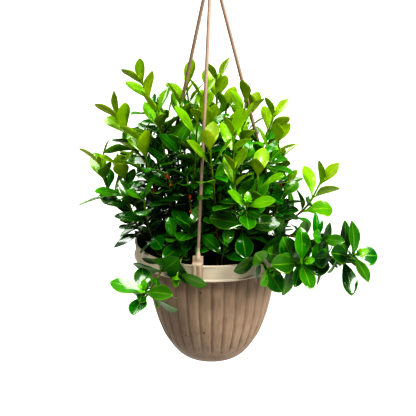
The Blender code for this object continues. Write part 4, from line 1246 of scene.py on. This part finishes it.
def grow_pairs(stem, line, others):
    """The leaves of one stem, in opposite pairs that each turn a quarter, clear of all the others."""
    chance = random.Random(stem.name)
    rings = stem_rings(stem, line)
    wall = stem_wall(stem, line)
    habit = stem.habit
    pairs = []
    for number, distance in enumerate(leaf_places(stem, line)):
        pair = []
        for side in range(2):
            turn = stem.turn + 90.0 * number + 180.0 * side + chance.uniform(-TURN_SPREAD, TURN_SPREAD)
            length = habit.lengths[number] * chance.uniform(*LENGTH_RANGE)
            leaf = leaf_on(
                line, distance, turn,
                face=node_face(rings, number, side),
                length=length,
                width=length * habit.width * chance.uniform(*WIDTH_RANGE),
                opening=habit.openings[number] + chance.uniform(-OPENING_SPREAD, OPENING_SPREAD),
                curl=habit.curl + chance.uniform(*CURL_RANGE),
                fold=habit.fold + chance.uniform(-FOLD_SPREAD, FOLD_SPREAD),
                twist=chance.uniform(-TWIST_SPREAD, TWIST_SPREAD),
            )
            pair += place_leaf(leaf, others, wall)
        pairs.append(pair)
    return pairs


def filling_places(stem, line):
    """Distances from the foot of the small leaves: half way between the older pairs, then on down."""
    places = leaf_places(stem, line)
    marks = [0.5 * (upper + lower) for upper, lower in zip(places[1:], places[2:])]
    mark = places[-1] - FILLING_GAP
    while mark > HOLE_DEPTH + LOWEST_LEAF:
        marks.append(mark)
        mark -= FILLING_GAP
    return marks


def grow_filling(stem, line, others):
    """The small old leaves of one stem, in pairs that each turn a quarter, clear of all the others."""
    chance = random.Random(stem.name + "_filling")
    leaves = []
    for number, distance in enumerate(filling_places(stem, line)):
        for side in range(2):
            turn = stem.turn + FILLING_TURN + 90.0 * number + 180.0 * side
            turn += chance.uniform(-FILLING_TURN_SPREAD, FILLING_TURN_SPREAD)
            length = chance.uniform(*FILLING_LENGTHS)
            leaf = leaf_on(
                line, distance, turn,
                face=None,
                length=length,
                width=length * FILLING_WIDTH,
                opening=chance.uniform(*FILLING_OPENINGS),
                curl=chance.uniform(*FILLING_CURLS),
                fold=FILLING_FOLD,
                twist=chance.uniform(-FILLING_TWIST, FILLING_TWIST),
            )
            leaves += place_leaf(leaf, others)
    return leaves


def grow_leaflets(stem, line, kind):
    """The folded baby leaves at a shoot's tip, as two crossed pairs."""
    chance = random.Random(stem.name + "_tip")
    leaflets = []
    for number, (length, opening) in enumerate(TIPS[kind], 1):
        for side in range(2):
            turn = stem.turn + 90.0 * number + 180.0 * side
            turn += chance.uniform(-LEAFLET_TURN_SPREAD, LEAFLET_TURN_SPREAD)
            leaflets.append(leaf_on(
                line, distances(line)[-1], turn,
                face=None,
                length=length * chance.uniform(*LEAFLET_LENGTHS),
                width=length * LEAFLET_WIDTH,
                opening=opening + chance.uniform(-LEAFLET_OPENING_SPREAD, LEAFLET_OPENING_SPREAD),
                curl=LEAFLET_CURL,
                fold=LEAFLET_FOLD,
                twist=0.0,
            ))
    return leaflets


def grow_in_turn(shoots, placed, grow):
    """Leaves of every stem in turn, clear of the strands, the other stems and the leaves placed so far."""
    strand_reach = STRAND_RADIUS * 2.0 + LEAF_CLEARANCE
    strands = [line_tree(strand_line(degrees), strand_reach) for degrees in STRAND_AZIMUTHS]
    reach = STEM_FOOT_RADIUS * STEM_SPREAD + LEAF_CLEARANCE
    stalks = [line_tree(stem_points(stem, line), reach) for stem, line in shoots]
    grown = []
    for number, (stem, line) in enumerate(shoots):
        others = strands + stalks[:number] + stalks[number + 1:] + placed
        before = len(others)
        grown.append(grow(stem, line, others))
        placed += others[before:]
    return grown


def plan_plant():
    """Every stem with its line, its pairs of leaves and its small filling leaves."""
    lines = [strand_line(degrees) for degrees in STRAND_AZIMUTHS]
    for stem in STEMS:
        lines.append(clear_route(stem, lines))
    shoots = list(zip(STEMS, lines[len(STRAND_AZIMUTHS):]))
    placed = []
    pairs = grow_in_turn(shoots, placed, grow_pairs)
    filling = grow_in_turn(shoots, placed, grow_filling)
    return [shoot + leaves for shoot, leaves in zip(shoots, zip(pairs, filling))]


# The fine pieces

def mesh_object(name, mesh_data):
    """Turn a bmesh into an object of the scene."""
    mesh = bpy.data.meshes.new(name)
    mesh_data.to_mesh(mesh)
    mesh_data.free()
    made = bpy.data.objects.new(name, mesh)
    bpy.context.scene.collection.objects.link(made)
    return made


def finish_piece(name, mesh_data, materials, nodes, sharp=SHARP):
    """Make a smooth-shaded object, with the nodes that it stands for."""
    piece = mesh_object(name, mesh_data)
    for material in materials:
        piece.data.materials.append(material)
    piece.data.shade_smooth()
    piece.data.set_sharp_from_angle(angle=math.radians(sharp))
    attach(piece, "root")
    if nodes:
        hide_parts(*nodes)
    return piece


def only_vertices(geometry):
    """The vertices in an operator's result."""
    return [item for item in geometry if isinstance(item, bmesh.types.BMVert)]


def edges_round(vertices):
    """All edges at these vertices, each once and in the same order on every run."""
    return list(dict.fromkeys(edge for vertex in vertices for edge in vertex.link_edges))


def faces_round(vertices):
    """All faces at these vertices, each once and in the same order on every run."""
    return list(dict.fromkeys(face for vertex in vertices for face in vertex.link_faces))


def soften(mesh_data, vertices, width, segments):
    """Round every edge at these vertices."""
    bmesh.ops.bevel(
        mesh_data, geom=edges_round(vertices), offset=width, segments=segments, profile=0.5,
        affect="EDGES", material=-1,
    )


def spin_outline(mesh_data, outline, steps):
    """Turn a half outline of (radius, height) points about the Z axis into a closed skin."""
    points = [mesh_data.verts.new((radius, 0.0, height)) for radius, height in outline]
    edges = [mesh_data.edges.new(pair) for pair in zip(points, points[1:])]
    bmesh.ops.spin(
        mesh_data, geom=points + edges, cent=(0.0, 0.0, 0.0), axis=(0.0, 0.0, 1.0), dvec=(0.0, 0.0, 0.0),
        angle=math.tau, steps=steps, use_merge=True, use_duplicate=False,
    )
    bmesh.ops.remove_doubles(mesh_data, verts=mesh_data.verts, dist=SAME_POINT)
    bmesh.ops.recalc_face_normals(mesh_data, faces=mesh_data.faces)


def arc(centre_radius, centre_height, radius, start, end, steps):
    """Points of an arc in a half outline, with its angles in degrees from straight out."""
    points = []
    for step in range(steps + 1):
        angle = math.radians(start + (end - start) * step / steps)
        points.append((centre_radius + math.cos(angle) * radius, centre_height + math.sin(angle) * radius))
    return points


def pot_outline():
    """Up the bowl from the foot's middle, round the bead, up the band, over the lip and down inside."""
    outline = [(0.0, 0.0), (FOOT_RADIUS - FOOT_EDGE, 0.0)]
    for row in range(BOWL_ROWS + 1):
        height = BAND_BOTTOM * (row / BOWL_ROWS) ** ROW_POWER
        outline.append((bowl_radius(height), height))
    bead = 0.5 * BEAD_HEIGHT
    bead_middle = RIM_RADIUS + BEAD_PROUD - bead
    outline.append((bead_middle, BAND_BOTTOM))
    outline += arc(bead_middle, BAND_BOTTOM + bead, bead, *BEAD_ARC)
    outline.append((RIM_RADIUS - BAND_LEAN[0], BAND_BOTTOM + BEAD_HEIGHT + BEAD_CHAMFER))
    outline.append((RIM_RADIUS - BAND_LEAN[1], POT_HEIGHT - BAND_HEAD))
    inside = RIM_RADIUS - RIM_WALL
    outline += arc(RIM_RADIUS - LIP_RADIUS, POT_HEIGHT - LIP_RADIUS, LIP_RADIUS, *LIP_ARC)
    outline += arc(inside + LIP_RADIUS, POT_HEIGHT - LIP_RADIUS, LIP_RADIUS, *INNER_LIP_ARC)
    shelf = BAND_BOTTOM + WALL
    outline += [(inside, shelf + SHELF_EDGE), (inside - SHELF_EDGE, shelf), (SHOULDER_RADIUS - WALL, shelf)]
    outline += [(bowl_radius(height) - WALL, height) for height in reversed(INSIDE_HEIGHTS)]
    return outline + [(FOOT_RADIUS - WALL, WALL), (0.0, WALL)]


def flute(height, angle):
    """How far the fluted wall stands out from the plain bowl: broad ribs between narrow grooves."""
    phase = (FLUTES * angle + math.pi) % math.tau - math.pi
    wave = 1.0 - 2.0 * math.exp(-(phase / GROOVE_WIDTH) ** 2)
    upper = clamped((FLUTE_TOP + FLUTE_END - height) / FLUTE_END)
    lower = clamped((height - FLUTE_BOTTOM + FLUTE_FADE) / FLUTE_FADE)
    return FLUTE_DEPTH * wave * upper * lower


def drill_foot(pot):
    """Cut the drain holes through the pot's foot."""
    mesh_data = bmesh.new()
    for number in range(DRAINS):
        angle = math.radians(DRAIN_TURN) + math.tau * number / DRAINS
        centre = Vector((math.cos(angle), math.sin(angle), 0.0)) * DRAIN_CIRCLE
        bmesh.ops.create_cone(
            mesh_data, cap_ends=True, segments=DRAIN_SIDES, radius1=DRAIN_RADIUS, radius2=DRAIN_RADIUS,
            depth=WALL * 4.0, matrix=Matrix.Translation(centre),
        )
    cutter = mesh_object("drain_cutter", mesh_data)
    cut = pot.modifiers.new("drains", "BOOLEAN")
    cut.operation = "DIFFERENCE"
    cut.object = cutter
    cut.solver = "EXACT"
    bpy.context.view_layer.objects.active = pot
    bpy.ops.object.modifier_apply(modifier=cut.name)
    bpy.data.objects.remove(cutter)


def make_fine_pot(materials):
    """The fluted pot with its rolled bead and lip."""
    mesh_data = bmesh.new()
    spin_outline(mesh_data, pot_outline(), FLUTES * SIDES_PER_FLUTE)
    for vertex in mesh_data.verts:
        x, y, height = vertex.co
        radius = math.hypot(x, y)
        if height < BAND_BOTTOM and radius > bowl_radius(max(0.0, height)) - OUTER_SKIN:
            stretch = 1.0 + flute(height, math.atan2(y, x)) / radius
            vertex.co = x * stretch, y * stretch, height
    drill_foot(finish_piece("pot_fluted", mesh_data, [materials["pot"]], ["pot"]))


def lumpy(x, y):
    """How far the soil's top dips or rises at a place."""
    return noise.fractal(Vector((x, y, SOIL_LAYER)) * SOIL_LUMP_SCALE, *SOIL_LUMP_NOISE) * SOIL_LUMP


def make_soil_bed(materials):
    """The peat's lumpy top, closed below by the inside of the pot."""
    wall = WALL + SOIL_GAP
    edge = RIM_RADIUS - RIM_WALL - SOIL_GAP
    outline = [(0.0, wall), (FOOT_RADIUS - wall, wall)]
    outline += [(bowl_radius(height) - wall, height) for height in INSIDE_HEIGHTS]
    outline += [(SHOULDER_RADIUS - wall, BAND_BOTTOM + wall), (edge, BAND_BOTTOM + wall)]
    radii = [edge * ring / SOIL_RINGS for ring in range(SOIL_RINGS, -1, -1)]
    outline += [(radius, soil_height(radius)) for radius in radii]
    mesh_data = bmesh.new()
    spin_outline(mesh_data, outline, SOIL_SIDES)
    for vertex in mesh_data.verts:
        x, y, height = vertex.co
        if height > SOIL_EDGE - SOIL_MARGIN and math.hypot(x, y) < edge - SOIL_MARGIN:
            vertex.co.z += lumpy(x, y)
    finish_piece("soil_bed", mesh_data, [materials["soil"]], ["soil"], BLUNT)


def scatter_crumbs(name, count, material, seed):
    """Loose bits lying on the soil, each a lump turned and stretched its own way."""
    chance = random.Random(seed)
    noise.seed_set(seed)
    mesh_data = bmesh.new()
    reach = RIM_RADIUS - RIM_WALL - SOIL_GAP - CRUMB_MARGIN
    for _ in range(count):
        radius = reach * math.sqrt(chance.random())
        angle = chance.uniform(0.0, math.tau)
        x, y = math.cos(angle) * radius, math.sin(angle) * radius
        size = chance.uniform(*CRUMB_SIZES)
        place = Matrix.Translation((x, y, soil_height(radius) + lumpy(x, y) + size * CRUMB_RISE))
        half_turn = chance.uniform(0.0, math.pi)
        turn = Matrix.Rotation(half_turn, 4, Vector((chance.random(), chance.random(), 1.0)))
        long = size * chance.uniform(*CRUMB_STRETCH)
        stretch = Matrix.Diagonal((long, size, size * chance.uniform(*CRUMB_FLATNESS), 1.0))
        bmesh.ops.create_icosphere(mesh_data, subdivisions=1, radius=1.0, matrix=place @ turn @ stretch)
    fineness, depth = CRUMB_ROUGHNESS
    for vertex in mesh_data.verts:
        vertex.co += noise.noise_vector(vertex.co * fineness) * depth
    finish_piece(name, mesh_data, [material], [], CRUMB_SHARP)


def grown_tube(mesh_data, points, radii, sides):
    """A closed tube extruded ring by ring along a line; gives its rings."""
    ring = bmesh.ops.create_circle(mesh_data, cap_ends=True, segments=sides, radius=1.0)["verts"]
    corners = [vertex.co.copy() for vertex in ring]
    rings = []
    for point, radius, (along, right) in zip(points, radii, transported_frames(points)):
        ahead = along.cross(right)
        if rings:
            edges = [edge for edge in edges_round(ring) if all(vertex in ring for vertex in edge.verts)]
            partners = {}
            for vertex in only_vertices(bmesh.ops.extrude_edge_only(mesh_data, edges=edges)["geom"]):
                partners.update({edge.other_vert(vertex): vertex for edge in vertex.link_edges})
            ring = [partners[vertex] for vertex in ring]
        for vertex, corner in zip(ring, corners):
            vertex.co = point + (right * corner.x + ahead * corner.y) * radius
        rings.append(ring)
    mesh_data.faces.new(ring)
    bmesh.ops.recalc_face_normals(mesh_data, faces=faces_round(sum(rings, [])))
    return rings


def clip_moulding(mesh_data, degrees):
    """One clip: a tab over the rim with soft edges, two ridges on its face and a socket for the strand."""
    outward, sideways = azimuth_frame(degrees)
    tab = [mesh_data.verts.new(outward * radius + up(height) - sideways * 0.5 * CLIP_WIDTH)
           for radius, height in CLIP_OUTLINE]
    grown = bmesh.ops.extrude_face_region(mesh_data, geom=[mesh_data.faces.new(tab)])["geom"]
    far_side = only_vertices(grown)
    bmesh.ops.translate(mesh_data, verts=far_side, vec=sideways * CLIP_WIDTH)
    bmesh.ops.recalc_face_normals(mesh_data, faces=faces_round(tab + far_side))
    soften(mesh_data, tab + far_side, CLIP_EDGE, 2)
    face_radius = max(radius for radius, _ in CLIP_OUTLINE)
    low = min(height for radius, height in CLIP_OUTLINE if radius > RIM_RADIUS)
    high = max(height for radius, height in CLIP_OUTLINE if radius == face_radius)
    turn = Matrix((outward, sideways, up(1.0))).transposed().to_4x4()
    size = Matrix.Diagonal((2.0 * RIDGE_PROUD, RIDGE_WIDTH, high - low - 2.0 * RIDGE_EDGE, 1.0))
    for side in (-1.0, 1.0):
        centre = outward * face_radius + sideways * side * RIDGE_OFFSET + up(0.5 * (low + high))
        place = Matrix.Translation(centre) @ turn @ size
        ridge = bmesh.ops.create_cube(mesh_data, size=1.0, matrix=place)["verts"]
        soften(mesh_data, ridge, RIDGE_EDGE, 3)
    foot, apex = strand_ends(degrees)
    heading = (apex - foot).normalized()
    socket = [foot + heading * rise for rise in (-SOCKET_SINK, 0.5 * SOCKET_HEIGHT, SOCKET_HEIGHT)]
    grown_tube(mesh_data, socket, SOCKET_RADII, ROD_SIDES)


def hub_outline():
    """Half outline of the hub: a swelling with grip rings round it."""
    outline = [(0.0, HUB_FOOT), (HUB_RADII[0], HUB_FOOT)]
    for row in range(HUB_ROWS + 1):
        share = row / HUB_ROWS
        swell = math.sin(math.pi * share ** HUB_SKEW) ** HUB_FULLNESS if 0.0 < share < 1.0 else 0.0
        grip = GRIP_HEIGHT * math.cos(share * math.tau * HUB_GRIPS)
        radius = HUB_RADII[0] + (HUB_RADII[1] - HUB_RADII[0]) * swell + grip
        outline.append((radius, HUB_FOOT + HUB_HEIGHT * share))
    return outline + [(0.0, HUB_FOOT + HUB_HEIGHT)]


def make_fine_hanger(materials):
    """Hub with its grip rings, clips, strands and the rounded hook."""
    mesh_data = bmesh.new()
    spin_outline(mesh_data, hub_outline(), HUB_SIDES)
    for degrees in STRAND_AZIMUTHS:
        clip_moulding(mesh_data, degrees)
        line = strand_line(degrees)
        line = line[::STRAND_STRIDE] + [line[-1]]
        grown_tube(mesh_data, line, [STRAND_RADIUS] * len(line), STRAND_SIDES)
    route = [up(HOOK_FOOT), up(HOOK_CENTRE - HOOK_BEND)]
    steps = HOOK_STEPS * HOOK_FINENESS
    for step in range(1, steps + 1):
        angle = math.radians(HOOK_START + (HOOK_END - HOOK_START) * step / steps)
        route.append(up(HOOK_CENTRE) + Vector((math.cos(angle), 0.0, math.sin(angle))) * HOOK_BEND)
    radii = [HOOK_ROD] * len(route)
    end = route[-1]
    tail = (end - route[-2]).normalized()
    for reach, share in HOOK_TAIL:
        route.append(end + tail * reach)
        radii.append(HOOK_ROD * share)
    grown_tube(mesh_data, route, radii, ROD_SIDES)
    finish_piece("hanger_moulding", mesh_data, [materials["hanger"]], ["hanger"])


def fine_half_width(leaf, share, skew):
    """Half width of a fine leaf: a stalk that thins out under a blunt oval."""
    least = STALK_HALF_WIDTH * (1.0 - share) + LEAF_END * share
    return max(least, oval(leaf, share, skew, LEAF_ROUNDNESS))


def crowded(flat):
    """Share of the leaf's length at a row of its grid, with the rows closer together at the tip."""
    return 1.0 - (1.0 - flat) ** ROW_CROWDING


def add_leaf(mesh_data, layers, leaf, age, skew, chance):
    """One leaf: a grid bent to its curve, folded at the rib, waved at its edge, puckered and thickened."""
    grid = bmesh.ops.create_grid(mesh_data, x_segments=LEAF_COLUMNS, y_segments=LEAF_ROWS, size=0.5)
    made = grid["verts"]
    flat = {vertex: (vertex.co.x * 2.0, crowded(vertex.co.y + 0.5)) for vertex in made}
    poses = {share: leaf_pose(leaf, share) for share in {place[1] for place in flat.values()}}
    fold = math.tan(math.radians(leaf.fold))
    waves = chance.uniform(*EDGE_WAVES)
    phase = chance.uniform(0.0, math.tau)
    tint = chance.random()
    for vertex, (cross, share) in flat.items():
        centre, _, upper, across = poses[share]
        reach = fine_half_width(leaf, share, skew)
        rise = (math.hypot(cross, FOLD_ROUNDNESS) - FOLD_ROUNDNESS) * fold
        wave = EDGE_WAVE * cross * abs(cross) * math.sin(math.tau * waves * share + phase)
        place = centre + across * cross * reach + upper * ((rise + wave) * reach + 0.5 * LEAF_SHEET)
        vertex.co = place + upper * noise.noise(place * PUCKER_SCALE) * PUCKER
        vertex[layers["growth"]] = (age, tint, 0.0, 1.0)
    faces = faces_round(made)
    for face in faces:
        for corner in face.loops:
            cross, share = flat[corner.vert]
            corner[layers["map"]].uv = (0.5 + 0.5 * cross, share)
    shell = bmesh.ops.solidify(mesh_data, geom=faces, thickness=LEAF_SHEET)["geom"]
    for vertex in only_vertices(shell):
        if vertex not in flat:
            vertex[layers["growth"]] = (age, tint, 1.0, 1.0)


def stalk_radius(share, mark, places):
    """Radius of a fine stem at a mark, swollen where its leaves grow."""
    near = max([0.0] + [1.0 - abs(mark - place) / NODE_REACH for place in places])
    return stem_radius(share) * (1.0 + NODE_SWELLING * near)


def add_stalk(mesh_data, layers, stem, line):
    """The stem itself, brown at its foot and green towards its tip."""
    lengths = distances(line)
    total = lengths[-1]
    places = leaf_places(stem, line)
    steps = round(total / STALK_STEP)
    marks = sorted({total * step / steps for step in range(steps + 1)} | set(places))
    points = [point_at(line, lengths, mark)[0] for mark in marks]
    radii = [stalk_radius(mark / total, mark, places) for mark in marks]
    rings = grown_tube(mesh_data, points, radii, STALK_SIDES)
    for mark, ring in zip(marks, rings):
        woody = clamped(WOOD_SHARE - WOOD_FADE * mark / total)
        for vertex in ring:
            vertex[layers["growth"]] = (woody, 0.5, 0.0, 1.0)
    for face in faces_round(sum(rings, [])):
        face.material_index = 1


def make_buds(plan, materials):
    """Small orange-red flower buds in the axils of a few leaves."""
    lines = {stem.name: (stem, line) for stem, line, _, _ in plan}
    mesh_data = bmesh.new()
    tilt = math.radians(FLOWER_TILT)
    slim = Matrix.Diagonal((FLOWER_SLIMNESS, FLOWER_SLIMNESS, 0.5, 1.0))
    for name, pair, turn, length in FLOWER_BUDS:
        stem, line = lines[name]
        root, along, right = point_at(line, distances(line), leaf_places(stem, line)[pair])
        aside = Matrix.Rotation(math.radians(turn), 3, along) @ right
        heading = along * math.cos(tilt) + aside * math.sin(tilt)
        place = Matrix.Translation(root + heading * (0.5 * length + STEM_FOOT_RADIUS))
        turned_up = heading.to_track_quat("Z", "Y").to_matrix().to_4x4()
        bmesh.ops.create_uvsphere(
            mesh_data, u_segments=FLOWER_SIDES[0], v_segments=FLOWER_SIDES[1], radius=length,
            matrix=place @ turned_up @ slim,
        )
    finish_piece("flower_buds", mesh_data, [materials["bud"]], [])


def make_shoot(stem, line, pairs, filling, materials):
    """One leafy stem in fine detail, in place of its node."""
    kind, slot, ages = LOOKS[stem.habit]
    skew = LEAF_SKEWS[kind]
    chance = random.Random(stem.name + "_leaves")
    mesh_data = bmesh.new()
    layers = {
        "growth": mesh_data.verts.layers.float_color.new("growth"),
        "map": mesh_data.loops.layers.uv.new("leaf_map"),
    }
    for age, pair in zip(ages, pairs):
        for leaf in pair:
            own_age = clamped(age + chance.uniform(-AGE_SPREAD, AGE_SPREAD))
            add_leaf(mesh_data, layers, leaf, own_age, skew, chance)
    for leaf in filling:
        add_leaf(mesh_data, layers, leaf, chance.uniform(*FILLING_AGES), LEAF_SKEWS["low"], chance)
    for leaf in grow_leaflets(stem, line, kind):
        add_leaf(mesh_data, layers, leaf, clamped(ages[0] - LEAFLET_YOUTH), skew, chance)
    add_stalk(mesh_data, layers, stem, line)
    skins = [materials[kind], materials["bark"]]
    finish_piece(f"{stem.name}_shoot", mesh_data, skins, [stem.name], BLUNT)


# Studio

def make_floor():
    """A plain pale floor far below the hanging pot, which the camera sees as white."""
    mesh_data = bmesh.new()
    place = Matrix.Translation(up(FLOOR_HEIGHT))
    bmesh.ops.create_grid(mesh_data, x_segments=1, y_segments=1, size=FLOOR_REACH, matrix=place)
    floor = mesh_object("floor", mesh_data)
    material, tree, shader = new_material("floor_white")
    put(shader.inputs, "Base Color", display(*FLOOR_COLOUR))
    put(shader.inputs, "Roughness", FLOOR_ROUGHNESS)
    surface = white_to_camera(tree, shader.outputs[0], "ShaderNodeEmission")
    put(tree.nodes["Material Output"].inputs, "Surface", surface)
    floor.data.materials.append(material)


def white_to_camera(tree, other, kind):
    """Shader that the camera sees as plain white, and that lights as the other one."""
    seen = node(tree, "ShaderNodeLightPath").outputs["Is Camera Ray"]
    white = node(tree, kind, {"Color": WHITE, "Strength": 1.0}).outputs[0]
    return node(tree, "ShaderNodeMixShader", {0: seen, 1: other, 2: white}).outputs[0]


def make_world():
    """White behind the plant, and an even soft light from all round."""
    world = bpy.data.worlds.new("studio")
    bpy.context.scene.world = world
    world.use_nodes = True
    tree = world.node_tree
    tree.nodes.clear()
    room = node(tree, "ShaderNodeBackground", {"Color": ROOM_COLOUR, "Strength": ROOM_STRENGTH}).outputs[0]
    node(tree, "ShaderNodeOutputWorld", {"Surface": white_to_camera(tree, room, "ShaderNodeBackground")})


def add_softbox(name, place, aim, size, power, colour):
    """A square area light at a place, turned to face a point."""
    light = bpy.data.lights.new(name, "AREA")
    light.shape = "SQUARE"
    light.size = size
    light.energy = power
    light.color = colour
    lamp = bpy.data.objects.new(name, light)
    lamp.location = place
    lamp.rotation_euler = (Vector(aim) - Vector(place)).to_track_quat("-Z", "Y").to_euler()
    bpy.context.scene.collection.objects.link(lamp)


def add_camera():
    """The photograph's view: from the front, looking down at the rim."""
    camera = bpy.data.cameras.new("camera")
    camera.sensor_width = SENSOR
    camera.lens = FOCAL_PIXELS / FRAME_PIXELS * SENSOR
    camera.shift_x, camera.shift_y = (shift / FRAME_PIXELS for shift in SHIFT_PIXELS)
    pitch = math.radians(VIEW_PITCH)
    viewer = bpy.data.objects.new("camera", camera)
    viewer.location = Vector(VIEW_TARGET) + Vector((0.0, -math.cos(pitch), math.sin(pitch))) * VIEW_DISTANCE
    viewer.rotation_euler = (math.radians(90.0 - VIEW_PITCH), 0.0, 0.0)
    bpy.context.scene.collection.objects.link(viewer)
    bpy.context.scene.camera = viewer


def main():
    """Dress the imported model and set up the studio."""
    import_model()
    bpy.context.scene.view_settings.view_transform = "Standard"
    bpy.context.scene.view_settings.look = CONTRAST
    materials = make_materials()
    make_fine_pot(materials)
    make_soil_bed(materials)
    scatter_crumbs("soil_crumbs", CRUMBS, materials["crumb"], CRUMB_SEED)
    scatter_crumbs("soil_specks", SPECKS, materials["speck"], SPECK_SEED)
    make_fine_hanger(materials)
    plan = plan_plant()
    for shoot in plan:
        make_shoot(*shoot, materials)
    make_buds(plan, materials)
    make_floor()
    make_world()
    for softbox in SOFTBOXES:
        add_softbox(*softbox)
    add_camera()


main()
